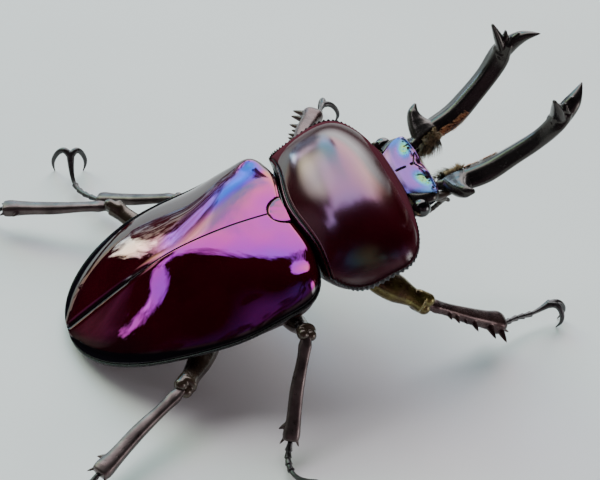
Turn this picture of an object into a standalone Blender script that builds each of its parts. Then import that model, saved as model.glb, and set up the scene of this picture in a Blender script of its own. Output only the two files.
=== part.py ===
"""Rainbow stag beetle (Phalacrognathus muelleri), large male: a still, life-size model.

Metres, +Z up. The head points along +X and the left side is +Y. The beetle stands on the tips
of its claws at z = 0 with its body pitched up, as a male does when he rears at something.
Body parts are laid out in a body frame: x forward along the body, y to the left, z up from
the back, with its origin at the tip of the scutellum. Legs are laid out in the model's frame,
from the same origin. The last step moves the whole model so that its box stands centred on
the origin.
"""
import math

import bmesh
import bpy
from mathutils import Vector

MM = 0.001

# Stance
BODY_PITCH = math.radians(15.0)
SCUTELLUM_HEIGHT = 15.75 * MM
GAP = 0.3 * MM

# Facets shared by rounded shapes
DOME_ANGLES = (math.radians(62.0), math.radians(32.0))
SHAFT_SIDES = 10
LIMB_SIDES = 8
FINE_SIDES = 6
BALL_SIDES = 12
BALL_RINGS = 8
THINNEST_RADIUS = 0.05 * MM

# Wing cases: plan, rim and crest in the body frame
ELYTRA_STATIONS = 19
ELYTRA_ACROSS = 10
ELYTRA_HALF_WIDTH = 12.2 * MM
ELYTRA_WIDEST_X = -5.0 * MM
ELYTRA_TIP_X = -25.4 * MM
ELYTRA_TIP_FLAT = 0.15 * MM
ELYTRA_LEAST_RISE = 0.2 * MM
ELYTRA_BOW_LENGTH = 7.0 * MM
SHOULDER_X = 3.9 * MM
REAR_ROUNDING = (2.3, 2.2)
SHOULDER_ROUNDING = (7.0, 2.4)
RIM_HEIGHTS = ((3.3, -3.0), (1.0, -4.2), (-3.0, -5.1), (-11.0, -6.0), (-19.5, -6.9), (-25.4, -8.3))
CREST_HEIGHTS = ((2.5, -0.1), (-4.0, 0.15), (-8.2, -0.25), (-12.9, -1.4), (-20.0, -4.95), (-25.4, -8.1))
# Shape of the cross-section along the wing cases: height = (1 - reach ** power) ** fullness
SECTION_POWER = ((3.0, 4.0), (-0.5, 3.8), (-6.0, 2.2), (-25.0, 2.0))
SECTION_FULLNESS = ((3.0, 0.5), (-1.0, 0.5), (-6.0, 0.72), (-10.0, 0.62), (-15.0, 0.5))
RIM_LIP = 0.7 * MM
RIM_GROOVE_WIDTH = 0.25 * MM
RIM_GROOVE_DROP = 0.1 * MM
RIM_THICKNESS = 0.35 * MM
# Least share of the half width under the dome, and share of it at the lower edge
DOME_LEAST_SHARE = 0.6
UNDERCUT = 0.985

# Waist line between the pronotum and the wing cases
WAIST_X = 2.45 * MM
WAIST_BOW = 1.2 * MM
WAIST_BOW_WIDTH = 8.0 * MM

# Scutellum
SCUTELLUM_RADIUS = 2.1 * MM
SCUTELLUM_DEPTH = 3.2 * MM
SCUTELLUM_RISE = 0.2 * MM
SCUTELLUM_BEVEL = 0.25 * MM
SCUTELLUM_CROWN = 0.6
SCUTELLUM_SIDES = 10
NOTCH_RISE = 1.0 * MM

# Pronotum and the underside of its ring
PRONOTUM_HALF_WIDTH = 12.95 * MM
PRONOTUM_WIDEST_X = 11.0 * MM
PRONOTUM_FRONT_X = 16.0 * MM
# Length in millimetres, power and root of the outline behind and before its widest place
PRONOTUM_REAR_LOBE = (8.8, 3.0, 3.4)
PRONOTUM_FRONT_LOBE = (5.2, 2.4, 2.3)
PRONOTUM_STATIONS = 15
PRONOTUM_ACROSS = 19
PRONOTUM_BELOW = 7
PRONOTUM_BOW_LENGTH = 5.0 * MM
PRONOTUM_FULLNESS = 0.62
PRONOTUM_MARGIN = ((3.0, -2.0), (5.5, -2.9), (8.0, -2.7), (10.0, -1.9), (12.0, -1.4), (16.0, -0.9))
PRONOTUM_CREST = ((2.5, 0.1), (5.0, 1.9), (8.0, 3.1), (10.5, 3.4), (13.0, 2.5), (15.0, 1.1), (16.0, 0.2))
PRONOTUM_FLANGE = 1.6 * MM
PRONOTUM_LIP = 0.35 * MM
PRONOTUM_THICKNESS = 0.7 * MM
PROSTERNUM_STATIONS = 9
PROSTERNUM_INSET = 1.5 * MM
PROSTERNUM_CLEARANCE = 0.33 * MM
PROSTERNUM_DEPTH = ((2.5, -6.3), (5.0, -7.3), (9.0, -7.9), (13.0, -7.0), (16.0, -5.6))

# Hind body under the wing cases
METATHORAX_STATIONS = 8
METATHORAX_REAR_X = -9.6 * MM
ABDOMEN_TIP_X = -24.2 * MM
HIND_INSET = 1.7 * MM
HIND_CLEARANCE = 0.75 * MM
HIND_LEAST_HALF_WIDTH = 1.5 * MM
HIND_DEPTH = ((2.3, -8.4), (-3.0, -9.9), (-9.0, -10.2), (-16.0, -9.9), (-21.0, -9.4), (-24.4, -8.9))
STERNITES = 5
STERNITE_STEP = 0.15 * MM
STERNITE_EDGE = 0.05 * MM
# Facets around the rounded underside, and share of the depth taken by its upright wall
BELLY_POINTS = 13
BELLY_WALL = 0.12
CEILING_SHARES = (-1.0, -0.5, 0.0, 0.5, 1.0)

# Head in the body frame: x, half width, top, bottom
HEAD_SECTIONS = (
    (16.3, 4.5, -0.2, -4.8),
    (17.2, 4.9, 0.1, -5.0),
    (18.3, 5.2, 0.5, -4.7),
    (19.2, 5.2, 0.8, -4.1),
    (19.9, 4.7, 0.6, -3.6),
    (20.4, 3.6, 0.1, -3.0),
)
HEAD_SIDES = 18
# Powers below 1 square off the head's section across and upright
HEAD_SQUARENESS = (0.7, 0.6)
EYE_CENTRE = (16.95, 5.5, -0.95)
EYE_RADIUS = 1.1 * MM
CANTHUS_PATH = (((16.4, 4.7, -0.1), 0.45), ((17.6, 5.5, 0.1), 0.55), ((19.0, 5.0, 0.2), 0.45))
CANTHUS_FLATNESS = 0.55

# Mandibles in the body frame: (x, y, z) and half width in millimetres, left side
MANDIBLE_SHAFT = (
    ((20.0, 3.9, -1.6), 1.75),
    ((22.0, 4.5, -0.3), 1.7),
    ((25.5, 4.9, 1.0), 1.5),
    ((28.4, 5.5, 2.9), 1.35),
    ((31.1, 6.2, 5.1), 1.3),
    ((32.7, 6.6, 7.2), 1.35),
    ((33.4, 6.6, 8.6), 1.15),
)
MANDIBLE_LONG_TINE = (((32.6, 6.6, 7.2), 1.2), ((34.8, 6.1, 9.2), 0.85), ((36.6, 4.7, 10.1), 0.14))
MANDIBLE_SHORT_TINE = (((32.9, 6.6, 7.6), 1.15), ((32.4, 7.1, 9.8), 0.85), ((31.7, 7.3, 11.2), 0.35))
MANDIBLE_HOOK = (((23.2, 4.9, 0.2), 1.35), ((21.7, 6.5, 0.6), 0.95), ((22.0, 7.9, 1.8), 0.14))
MANDIBLE_FLATNESS = 0.78
MANDIBLE_SUNK_SAMPLES = 6

# Feelers in the body frame, left side
SCAPE_PATH = (((18.8, 4.7, -2.8), 0.34), ((20.2, 5.4, -3.0), 0.3), ((21.5, 5.2, -3.1), 0.38))
FUNICLE_PATH = (
    ((21.5, 5.2, -3.1), 0.3),
    ((20.9, 4.2, -4.2), 0.27),
    ((19.9, 3.1, -5.2), 0.27),
    ((19.1, 2.5, -5.8), 0.3),
)
# The club's leaves, in millimetres from the end of the funicle
CLUB_LEAVES = 3
CLUB_STEP = Vector((-0.45, -0.1, 0.0))
CLUB_ROOT = Vector((0.2, 0.3, 0.05))
CLUB_DIRECTION = Vector((-0.35, -0.9, -0.5)).normalized()
CLUB_LENGTH = 1.7
LEAF_RADII = (0.26, 0.5, 0.34)
LEAF_FLATNESS = 0.5
PALP_PATH = (((20.4, 1.3, -3.9), 0.3), ((22.0, 1.8, -4.4), 0.32), ((23.4, 2.3, -4.0), 0.26))

# Legs, left or right as named: coxa in the body frame, other points in the model's frame,
# measured from the scutellum tip's foot on the floor, in millimetres
LEGS = {
    "front_right": {
        "coxa": (8.0, -4.2, -7.0), "knee": (17.5, -10.9, 8.5), "apex": (29.2, -12.1, 3.4),
        "tarsus": ((32.4, -11.4, 2.9), (34.9, -10.9, 2.5), (38.0, -10.2, 3.0)),
        "claws": ((39.2, -11.9, 0.0), (40.2, -10.6, 0.0)),
    },
    "front_left": {
        "coxa": (8.0, 4.2, -7.0), "knee": (10.1, 15.6, 10.6), "apex": (17.7, 25.9, 7.8),
        "tarsus": ((19.8, 28.3, 5.8), (21.3, 30.6, 4.3), (23.3, 33.6, 3.1)),
        "claws": ((25.4, 32.7, 0.0), (23.8, 35.4, 0.0)),
    },
    "middle_right": {
        "coxa": (-1.0, -4.2, -9.6), "knee": (0.9, -13.6, 10.5), "apex": (-2.6, -21.6, 2.5),
        "tarsus": ((-3.2, -23.0, 1.2), (-3.4, -24.6, 1.1), (-2.3, -28.0, 3.2)),
        "claws": ((-3.6, -30.0, 0.0), (-0.2, -29.4, 0.0)),
    },
    "middle_left": {
        "coxa": (-1.0, 4.2, -9.6), "knee": (-5.6, 13.2, 7.1), "apex": (-13.9, 19.6, 2.4),
        "tarsus": ((-15.6, 22.3, 1.4), (-16.1, 24.2, 1.2), (-16.0, 27.7, 3.5)),
        "claws": ((-17.8, 28.6, 0.0), (-14.1, 28.0, 0.0)),
    },
    "hind_right": {
        "coxa": (-8.0, -4.6, -9.9), "knee": (-12.6, -13.8, 5.0), "apex": (-23.5, -20.7, 2.5),
        "tarsus": ((-25.7, -22.1, 1.4), (-28.4, -23.6, 1.1), (-32.1, -25.8, 3.2)),
        "claws": ((-34.0, -25.4, 0.0), (-32.2, -27.8, 0.0)),
    },
    "hind_left": {
        "coxa": (-8.0, 4.6, -9.9), "knee": (-13.5, 15.2, 5.2), "apex": (-26.0, 19.3, 3.0),
        "tarsus": ((-28.0, 20.4, 1.5), (-30.4, 21.8, 1.1), (-34.0, 24.4, 3.2)),
        "claws": ((-35.8, 24.2, 0.0), (-34.0, 26.4, 0.0)),
    },
}
# Half widths in millimetres by pair of legs: coxa, trochanter, femur, knee, tibia start and end
LEG_WIDTHS = {
    "front": {"coxa": 1.5, "trochanter": 0.9, "femur": 1.75, "knee": 1.25, "tibia": (0.9, 1.4)},
    "middle": {"coxa": 1.4, "trochanter": 0.8, "femur": 1.25, "knee": 1.1, "tibia": (0.7, 0.8)},
    "hind": {"coxa": 1.4, "trochanter": 0.8, "femur": 1.35, "knee": 1.2, "tibia": (0.8, 0.95)},
}
FEMUR_FLATNESS = 0.8
TIBIA_FLATNESS = 0.8
HIP_REACH = 1.5 * MM
HIP_DROP = 1.0 * MM
# Share of the way from hip to knee, and which width with what factor
FEMUR_SHAPE = (
    (0.0, "trochanter", 1.0),
    (0.3, "femur", 1.0),
    (0.62, "femur", 1.0),
    (0.88, "knee", 0.85),
    (1.0, "knee", 1.0),
)
# Share of the lower leg's length, share of the way from its start width to its end width, and
# bend outwards in millimetres
TIBIA_SHAPE = ((0.0, 0.0, 0.0), (0.12, 0.0, 0.0), (0.5, 0.45, 0.15), (0.85, 0.9, 0.0), (1.0, 1.0, 0.0))
TIBIA_DOME = 0.3
# Place along the lower leg and length in millimetres of each outer tooth
FRONT_TEETH = ((0.2, 0.55), (0.34, 0.7), (0.52, 0.95), (0.72, 1.3), (0.92, 1.6))
REAR_TEETH = ((0.86, 1.0),)
TOOTH_SEAT = 0.75
# A tooth's direction outwards, along the leg and up, and its half width for its length
FRONT_TOOTH_LEAN = (1.0, 0.2, -0.15)
REAR_TOOTH_LEAN = (1.0, 0.7, 0.0)
TOOTH_RADIUS = 0.2
TOOTH_RADIUS_GROWTH = 0.2
# Spurs at a lower leg's end: root outwards in shares of its half width, direction outwards,
# along and up, length and half width in millimetres
FRONT_SPURS = ((0.55, (0.35, 1.0, 0.0), 1.3, 0.42), (-0.6, (-0.6, 1.0, -0.5), 1.0, 0.26))
REAR_SPURS = (
    (-0.6, (-0.6, 1.0, -0.15), 1.0, 0.27),
    (0.64, (0.64, 1.0, -0.15), 1.1, 0.27),
    (-0.6, (-0.6, 1.0, -0.5), 1.0, 0.26),
)
SPUR_SETBACK = 0.2 * MM
SPINE_SIDES = 5
SPINE_MIDDLE = 0.6
SPINE_TIP = 0.09 * MM
# Feet: widths in millimetres
TARSUS_STEPS = 12
SHORT_TARSOMERES = 4
TARSOMERE_SHAPE = ((0.35, 0.42), (0.75, 0.52), (1.0, 0.27))
LAST_TARSOMERE_SHAPE = ((0.4, 0.3), (0.8, 0.42), (1.0, 0.5))
TARSUS_NECK = 0.27
# Claws: half widths in millimetres, and how far they arch forward over their tips
CLAW_RADII = (0.34, 0.34, 0.28, 0.2)
CLAW_ARCH = 0.5 * MM
CLAW_SINK = 0.3 * MM
CLAW_HUMP = 0.1 * MM
CLAW_DROP_HEIGHT = 0.52
CLAW_BELOW_FLOOR = 0.25 * MM

SURFACES = {
    "elytra": ((0.16, 0.01, 0.09), 0.12, 0.55),
    "pronotum": ((0.13, 0.015, 0.04), 0.25, 0.5),
    "head": ((0.32, 0.2, 0.42), 0.3, 0.6),
    "black": ((0.012, 0.011, 0.014), 0.2, 0.3),
    "underside": ((0.035, 0.018, 0.018), 0.3, 0.4),
    "femur": ((0.06, 0.045, 0.03), 0.3, 0.4),
    "tibia": ((0.035, 0.024, 0.022), 0.3, 0.4),
    "tarsus": ((0.014, 0.014, 0.018), 0.3, 0.3),
    "feeler": ((0.04, 0.03, 0.025), 0.4, 0.2),
}


def on_body(x, y, z):
    """A point of the body frame, in metres, in the model's frame."""
    cosine, sine = math.cos(BODY_PITCH), math.sin(BODY_PITCH)
    return Vector((x * cosine - z * sine, y, SCUTELLUM_HEIGHT + x * sine + z * cosine))


def body_mm(point, side=1):
    """A point of the body frame in millimetres, mirrored to the right side by side = -1."""
    return on_body(point[0] * MM, point[1] * MM * side, point[2] * MM)


def floor_mm(point):
    """A point of the model's frame in millimetres."""
    return Vector(point) * MM


def eased(knots, x):
    """The value at x, in metres, through (x, value) knots with x in millimetres."""
    ordered = sorted(knots)
    x_mm = min(max(x / MM, ordered[0][0]), ordered[-1][0])
    slopes = []
    for index in range(len(ordered)):
        low = ordered[max(index - 1, 0)]
        high = ordered[min(index + 1, len(ordered) - 1)]
        slopes.append((high[1] - low[1]) / (high[0] - low[0]))
    for index in range(len(ordered) - 1):
        (x0, y0), (x1, y1) = ordered[index], ordered[index + 1]
        if x_mm <= x1:
            span = x1 - x0
            t = (x_mm - x0) / span
            rise = (2 * t ** 3 - 3 * t ** 2 + 1) * y0 + (3 * t ** 2 - 2 * t ** 3) * y1
            lean = (t ** 3 - 2 * t ** 2 + t) * slopes[index] + (t ** 3 - t ** 2) * slopes[index + 1]
            return rise + lean * span
    return ordered[-1][1]


def smooth(knots, x):
    """The height in metres at x through (x, height) knots in millimetres."""
    return eased(knots, x) * MM


def waist(y):
    """The x of the line between the pronotum and the wing cases at a distance y from the middle."""
    reach = min(abs(y) / WAIST_BOW_WIDTH, 1.0)
    return WAIST_X + WAIST_BOW * (3.0 * reach ** 2 - 2.0 * reach ** 3)


def elytra_half_width(x):
    """The half width of the closed wing cases at x."""
    if x < ELYTRA_WIDEST_X:
        share = (ELYTRA_WIDEST_X - x) / (ELYTRA_WIDEST_X - ELYTRA_TIP_X)
        power, root = REAR_ROUNDING
    else:
        share = (x - ELYTRA_WIDEST_X) / (SHOULDER_X - ELYTRA_WIDEST_X)
        power, root = SHOULDER_ROUNDING
    return ELYTRA_HALF_WIDTH * max(1.0 - min(share, 1.0) ** power, 0.0) ** (1.0 / root)


def pronotum_half_width(x):
    """The half width of the pronotum at x."""
    length, power, root = PRONOTUM_REAR_LOBE if x < PRONOTUM_WIDEST_X else PRONOTUM_FRONT_LOBE
    share = min(abs(x - PRONOTUM_WIDEST_X) / (length * MM), 1.0)
    return PRONOTUM_HALF_WIDTH * (1.0 - share ** power) ** (1.0 / root)


def spread(count):
    """Shares from 0 to 1, closer together towards both ends."""
    return [0.5 - 0.5 * math.cos(math.pi * index / (count - 1)) for index in range(count)]


def bow(y, distance, length):
    """How far forward the waist's bow still carries a point at a distance from the waist."""
    return (waist(y) - WAIST_X) * max(0.0, 1.0 - distance / length) ** 2


def make_object(name, mesh):
    """Puts a mesh into the scene as an object."""
    thing = bpy.data.objects.new(name, mesh)
    bpy.context.scene.collection.objects.link(thing)
    return thing


def skin(name, rings):
    """A closed solid through rings of points, each end closed by one face cut into triangles."""
    work = bmesh.new()
    rows = [[work.verts.new(point) for point in ring] for ring in rings]
    count = len(rings[0])
    for low, high in zip(rows, rows[1:]):
        for index in range(count):
            after = (index + 1) % count
            work.faces.new((low[index], low[after], high[after], high[index]))
    for row in (rows[0], rows[-1]):
        work.faces.new(row)
    bmesh.ops.triangulate(work, faces=work.faces[:])
    bmesh.ops.recalc_face_normals(work, faces=work.faces[:])
    mesh = bpy.data.meshes.new(name)
    work.to_mesh(mesh)
    work.free()
    return make_object(name, mesh)


def evaluated_copy(thing):
    """Replaces an object's mesh by its mesh with the modifiers applied."""
    bpy.context.view_layer.update()
    depsgraph = bpy.context.evaluated_depsgraph_get()
    mesh = bpy.data.meshes.new_from_object(thing.evaluated_get(depsgraph))
    thing.modifiers.clear()
    old = thing.data
    thing.data = mesh
    bpy.data.meshes.remove(old)


def keep_largest(thing):
    """Keeps only the largest closed surface of an object's mesh."""
    work = bmesh.new()
    work.from_mesh(thing.data)
    left = set(work.verts)
    groups = []
    while left:
        start = left.pop()
        group, edge_of_group = {start}, [start]
        while edge_of_group:
            vert = edge_of_group.pop()
            for edge in vert.link_edges:
                other = edge.other_vert(vert)
                if other in left:
                    left.discard(other)
                    group.add(other)
                    edge_of_group.append(other)
        groups.append(group)
    groups.sort(key=len)
    for group in groups[:-1]:
        bmesh.ops.delete(work, geom=list(group), context="VERTS")
    bmesh.ops.triangulate(work, faces=work.faces[:])
    work.to_mesh(thing.data)
    work.free()


def fuse(pieces):
    """Joins closed pieces into the first one with one Boolean union, and removes the rest."""
    base, others = pieces[0], pieces[1:]
    group = bpy.data.collections.new(base.name + "_pieces")
    for other in others:
        group.objects.link(other)
    union = base.modifiers.new("fuse", "BOOLEAN")
    union.operation = "UNION"
    union.operand_type = "COLLECTION"
    union.collection = group
    evaluated_copy(base)
    bpy.data.collections.remove(group)
    for other in others:
        bpy.data.objects.remove(other)
    keep_largest(base)
    return base


def carve(thing, cutters):
    """Cuts closed cutters out of an object, one after another, and removes them."""
    for cutter in cutters:
        cut = thing.modifiers.new("carve", "BOOLEAN")
        cut.operation = "DIFFERENCE"
        cut.object = cutter
        evaluated_copy(thing)
        bpy.data.objects.remove(cutter)
    keep_largest(thing)
    return thing


def curve_through(knots, count):
    """Samples (point, radius) knots on a smooth curve, count samples to a stretch."""
    samples = []
    for index in range(len(knots) - 1):
        before = knots[max(index - 1, 0)]
        start, end = knots[index], knots[index + 1]
        after = knots[min(index + 2, len(knots) - 1)]
        for step in range(count):
            t = step / count
            weights = (
                -0.5 * t ** 3 + t ** 2 - 0.5 * t,
                1.5 * t ** 3 - 2.5 * t ** 2 + 1.0,
                -1.5 * t ** 3 + 2.0 * t ** 2 + 0.5 * t,
                0.5 * t ** 3 - 0.5 * t ** 2,
            )
            point = Vector()
            radius = 0.0
            for weight, knot in zip(weights, (before, start, end, after)):
                point += weight * knot[0]
                radius += weight * knot[1]
            samples.append((point, max(radius, THINNEST_RADIUS)))
    samples.append(knots[-1])
    return samples


def tube(name, samples, sides, flatness=1.0, up=Vector((0, 0, 1)), domes=(0.0, 0.0), grow=0.0):
    """A closed tube of elliptic section through (point, radius) samples, with domed ends."""
    points = [sample[0] for sample in samples]
    radii = [sample[1] for sample in samples]
    turns = [2 * math.pi * (index + 0.5) / sides for index in range(sides)]
    rings = []

    def ring(centre, tangent, radius, swell=1.0):
        side = tangent.cross(up).normalized() * (radius + grow * swell)
        normal = side.cross(tangent).normalized() * (radius * flatness + grow * swell)
        return [centre + side * math.cos(turn) + normal * math.sin(turn) for turn in turns]

    tangents = []
    for index in range(len(points)):
        low, high = max(index - 1, 0), min(index + 1, len(points) - 1)
        tangents.append((points[high] - points[low]).normalized())
    if domes[0]:
        for angle in DOME_ANGLES:
            centre = points[0] - tangents[0] * (radii[0] + grow) * domes[0] * math.sin(angle)
            rings.append(ring(centre, tangents[0], radii[0] * math.cos(angle), math.cos(angle)))
    for point, tangent, radius in zip(points, tangents, radii):
        rings.append(ring(point, tangent, radius))
    if domes[1]:
        for angle in reversed(DOME_ANGLES):
            centre = points[-1] + tangents[-1] * (radii[-1] + grow) * domes[1] * math.sin(angle)
            rings.append(ring(centre, tangents[-1], radii[-1] * math.cos(angle), math.cos(angle)))
    return skin(name, rings)


def in_metres(knots, side=1):
    """Body frame knots in millimetres as (point, radius) in metres."""
    return [(body_mm(point, side), radius * MM) for point, radius in knots]


def ball(name, centre, radius):
    """A closed ball of flat faces."""
    mesh = bpy.data.meshes.new(name)
    work = bmesh.new()
    bmesh.ops.create_uvsphere(work, u_segments=BALL_SIDES, v_segments=BALL_RINGS, radius=radius)
    bmesh.ops.translate(work, verts=work.verts[:], vec=centre)
    bmesh.ops.triangulate(work, faces=work.faces[:])
    work.to_mesh(mesh)
    work.free()
    return make_object(name, mesh)


def dress(thing, surface):
    """Gives an object its surface and smooth shading."""
    colour, roughness, metallic = SURFACES[surface]
    material = bpy.data.materials.new(thing.name)
    material.use_nodes = True
    shader = material.node_tree.nodes["Principled BSDF"]
    shader.inputs["Base Color"].default_value = (*colour, 1.0)
    shader.inputs["Roughness"].default_value = roughness
    shader.inputs["Metallic"].default_value = metallic
    thing.data.materials.clear()
    thing.data.materials.append(material)
    thing.data.shade_smooth()
    thing.data.set_sharp_from_angle(angle=math.radians(40.0))


def elytron(side):
    """One wing case: a half dome from the suture to its raised rim, notched for the scutellum."""
    front_x = WAIST_X - GAP / 2
    back_x = ELYTRA_TIP_X + ELYTRA_TIP_FLAT
    rings = []
    for share in spread(ELYTRA_STATIONS):
        x = front_x + (back_x - front_x) * share
        shoulder_x = x + bow(WAIST_BOW_WIDTH, front_x - x, ELYTRA_BOW_LENGTH)
        half_width = elytra_half_width(shoulder_x)
        power, fullness = eased(SECTION_POWER, x), eased(SECTION_FULLNESS, x)
        rim = smooth(RIM_HEIGHTS, x)
        crest = max(smooth(CREST_HEIGHTS, x), rim + ELYTRA_LEAST_RISE)
        dome_edge = max(half_width - RIM_LIP, half_width * DOME_LEAST_SHARE)
        section = []
        for step in range(ELYTRA_ACROSS):
            y = GAP / 2 + (dome_edge - GAP / 2) * math.sin(math.pi / 2 * step / (ELYTRA_ACROSS - 1))
            height = max(1.0 - (y / half_width) ** power, 0.0) ** fullness
            section.append((y, rim + (crest - rim) * height))
        groove = half_width * (1.0 - RIM_GROOVE_WIDTH / ELYTRA_HALF_WIDTH)
        section.append((groove, section[-1][1] - RIM_GROOVE_DROP))
        section.append((half_width, rim))
        section.append((half_width * UNDERCUT, rim - RIM_THICKNESS))
        section.append((half_width / 2, rim - RIM_THICKNESS))
        section.append((GAP / 2, rim - RIM_THICKNESS))
        rings.append([
            on_body(x + bow(y, front_x - x, ELYTRA_BOW_LENGTH), side * y, z) for y, z in section
        ])
    name = "elytron_left" if side > 0 else "elytron_right"
    return carve(skin(name, rings), [scutellum_post("notch", GAP, NOTCH_RISE)])


def scutellum_post(name, grow, rise):
    """The half-round post of the scutellum, or the larger cutter of its notch."""
    middle_x = WAIST_X - GAP / 2
    radius = SCUTELLUM_RADIUS + grow
    turns = [math.pi * (0.5 + step / SCUTELLUM_SIDES) for step in range(SCUTELLUM_SIDES + 1)]
    outline = [(radius * math.cos(turn), radius * math.sin(turn)) for turn in turns]
    if grow:
        outline += [(4 * grow, -radius), (4 * grow, radius)]
    levels = ((SCUTELLUM_CROWN, rise), (1.0, rise - SCUTELLUM_BEVEL), (1.0, -SCUTELLUM_DEPTH - 3 * grow))
    return skin(name, [
        [on_body(middle_x + x * share, y * share, z) for x, y in outline] for share, z in levels
    ])


def pronotum():
    """The shield over the forebody: a dome that runs out into a thin raised margin."""
    rear_x = WAIST_X + GAP / 2
    rings = []
    for share in spread(PRONOTUM_STATIONS):
        x = rear_x + (PRONOTUM_FRONT_X - rear_x) * share
        half_width = pronotum_half_width(x + bow(WAIST_BOW_WIDTH, x - rear_x, PRONOTUM_BOW_LENGTH))
        margin = smooth(PRONOTUM_MARGIN, x)
        crest = smooth(PRONOTUM_CREST, x)
        wideness = half_width / PRONOTUM_HALF_WIDTH
        dome_edge = half_width - PRONOTUM_FLANGE * wideness
        section = []
        for step in range(PRONOTUM_ACROSS):
            y = half_width * math.sin(math.pi * (step / (PRONOTUM_ACROSS - 1) - 0.5))
            reach = min(abs(y) / dome_edge, 1.0)
            height = (1.0 - reach ** 2) ** PRONOTUM_FULLNESS
            flange = max(0.0, (abs(y) - dome_edge) / (half_width - dome_edge))
            lip = PRONOTUM_LIP * (wideness * flange) ** 2
            section.append((y, margin + (crest - margin) * height + lip))
        for step in range(PRONOTUM_BELOW):
            y = half_width * UNDERCUT * (1.0 - 2.0 * step / (PRONOTUM_BELOW - 1))
            section.append((y, margin - PRONOTUM_THICKNESS))
        rings.append([
            on_body(x + bow(y, x - rear_x, PRONOTUM_BOW_LENGTH), y, z) for y, z in section
        ])
    sockets = [ball("socket", body_mm(EYE_CENTRE, side), EYE_RADIUS + GAP) for side in (1, -1)]
    return carve(skin("pronotum", rings), sockets)


def keel(name, from_x, to_x, stations, half_width, top, bottom, step_at=()):
    """A part of the underside: flat on top, rounded below, between two stations."""
    rings = []
    for index in range(stations):
        x = from_x + (to_x - from_x) * index / (stations - 1)
        rows = [(x, 0.0)]
        if index in step_at:
            rows.append((x - STERNITE_EDGE, STERNITE_STEP))
        for row_x, step in rows:
            width, ceiling, floor = half_width(row_x), top(row_x), bottom(row_x) + step
            wall = ceiling - BELLY_WALL * (ceiling - floor)
            turns = [math.pi * turn / (BELLY_POINTS - 1) for turn in range(BELLY_POINTS)]
            ring = [
                on_body(row_x, width * math.cos(turn), wall + (floor - wall) * math.sin(turn))
                for turn in turns
            ]
            ring += [on_body(row_x, share * width, ceiling) for share in CEILING_SHARES]
            rings.append(ring)
    return skin(name, rings)


def prosternum():
    """The underside of the forebody's ring, which carries the front legs."""
    return keel(
        "prosternum", WAIST_X + WAIST_BOW + GAP, PRONOTUM_FRONT_X, PROSTERNUM_STATIONS,
        lambda x: pronotum_half_width(x) - PROSTERNUM_INSET,
        lambda x: smooth(PRONOTUM_MARGIN, x) - PRONOTUM_THICKNESS - PROSTERNUM_CLEARANCE,
        lambda x: smooth(PROSTERNUM_DEPTH, x),
    )


def under_elytra(x):
    """The top of the hind body, just below the wing cases."""
    return smooth(RIM_HEIGHTS, x) - RIM_THICKNESS - HIND_CLEARANCE


def hind_half_width(x):
    """The half width of the hind body, just inside the wing cases' rim."""
    return max(elytra_half_width(x) - HIND_INSET, HIND_LEAST_HALF_WIDTH)


def metathorax():
    """The chest under the wing cases, which carries the middle and hind legs."""
    return keel(
        "metathorax", WAIST_X - GAP / 2, METATHORAX_REAR_X, METATHORAX_STATIONS,
        hind_half_width, under_elytra, lambda x: smooth(HIND_DEPTH, x),
    )


def abdomen():
    """The belly behind the chest, in plates that step up one after another."""
    rows = STERNITES * 2
    return keel(
        "abdomen", METATHORAX_REAR_X - GAP, ABDOMEN_TIP_X, rows + 1,
        hind_half_width, under_elytra, lambda x: smooth(HIND_DEPTH, x),
        step_at=range(2, rows, 2),
    )


def head():
    """The head with its side plates, cut out for the eyes, mandibles, feelers and palps."""
    rings = []
    for x, half_width, top, bottom in HEAD_SECTIONS:
        middle, half_height = (top + bottom) / 2, (top - bottom) / 2
        ring = []
        for index in range(HEAD_SIDES):
            turn = 2 * math.pi * (index + 0.5) / HEAD_SIDES
            across = math.copysign(abs(math.cos(turn)) ** HEAD_SQUARENESS[0], math.cos(turn))
            rise = math.copysign(abs(math.sin(turn)) ** HEAD_SQUARENESS[1], math.sin(turn))
            ring.append(body_mm((x, half_width * across, middle + half_height * rise)))
        rings.append(ring)
    pieces = [skin("head", rings)]
    for side in (1, -1):
        samples = curve_through(in_metres(CANTHUS_PATH, side), 2)
        pieces.append(tube("canthus", samples, LIMB_SIDES, CANTHUS_FLATNESS, domes=(1.0, 1.0)))
    thing = fuse(pieces)
    cutters = []
    for side in (1, -1):
        cutters.append(ball("socket", body_mm(EYE_CENTRE, side), EYE_RADIUS + GAP))
        shaft = curve_through(in_metres(MANDIBLE_SHAFT, side), 2)[:MANDIBLE_SUNK_SAMPLES]
        cutters.append(tube("socket", shaft, SHAFT_SIDES, MANDIBLE_FLATNESS, domes=(0.6, 0.0), grow=GAP))
        for path in (SCAPE_PATH, PALP_PATH):
            samples = curve_through(in_metres(path, side), 2)
            cutters.append(tube("socket", samples, FINE_SIDES, domes=(0.6, 0.6), grow=GAP))
    return carve(thing, cutters)


def mandible(side):
    """One jaw: a curved shaft with a hook at its base and a fork at its end."""
    name = "mandible_left" if side > 0 else "mandible_right"
    samples = curve_through(in_metres(MANDIBLE_SHAFT, side), 2)
    pieces = [tube(name, samples, SHAFT_SIDES, MANDIBLE_FLATNESS, domes=(0.6, 0.5))]
    for knots in (MANDIBLE_LONG_TINE, MANDIBLE_SHORT_TINE, MANDIBLE_HOOK):
        samples = curve_through(in_metres(knots, side), 3)
        pieces.append(tube("tine", samples, LIMB_SIDES, MANDIBLE_FLATNESS, domes=(0.6, 0.8)))
    return fuse(pieces)


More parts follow.
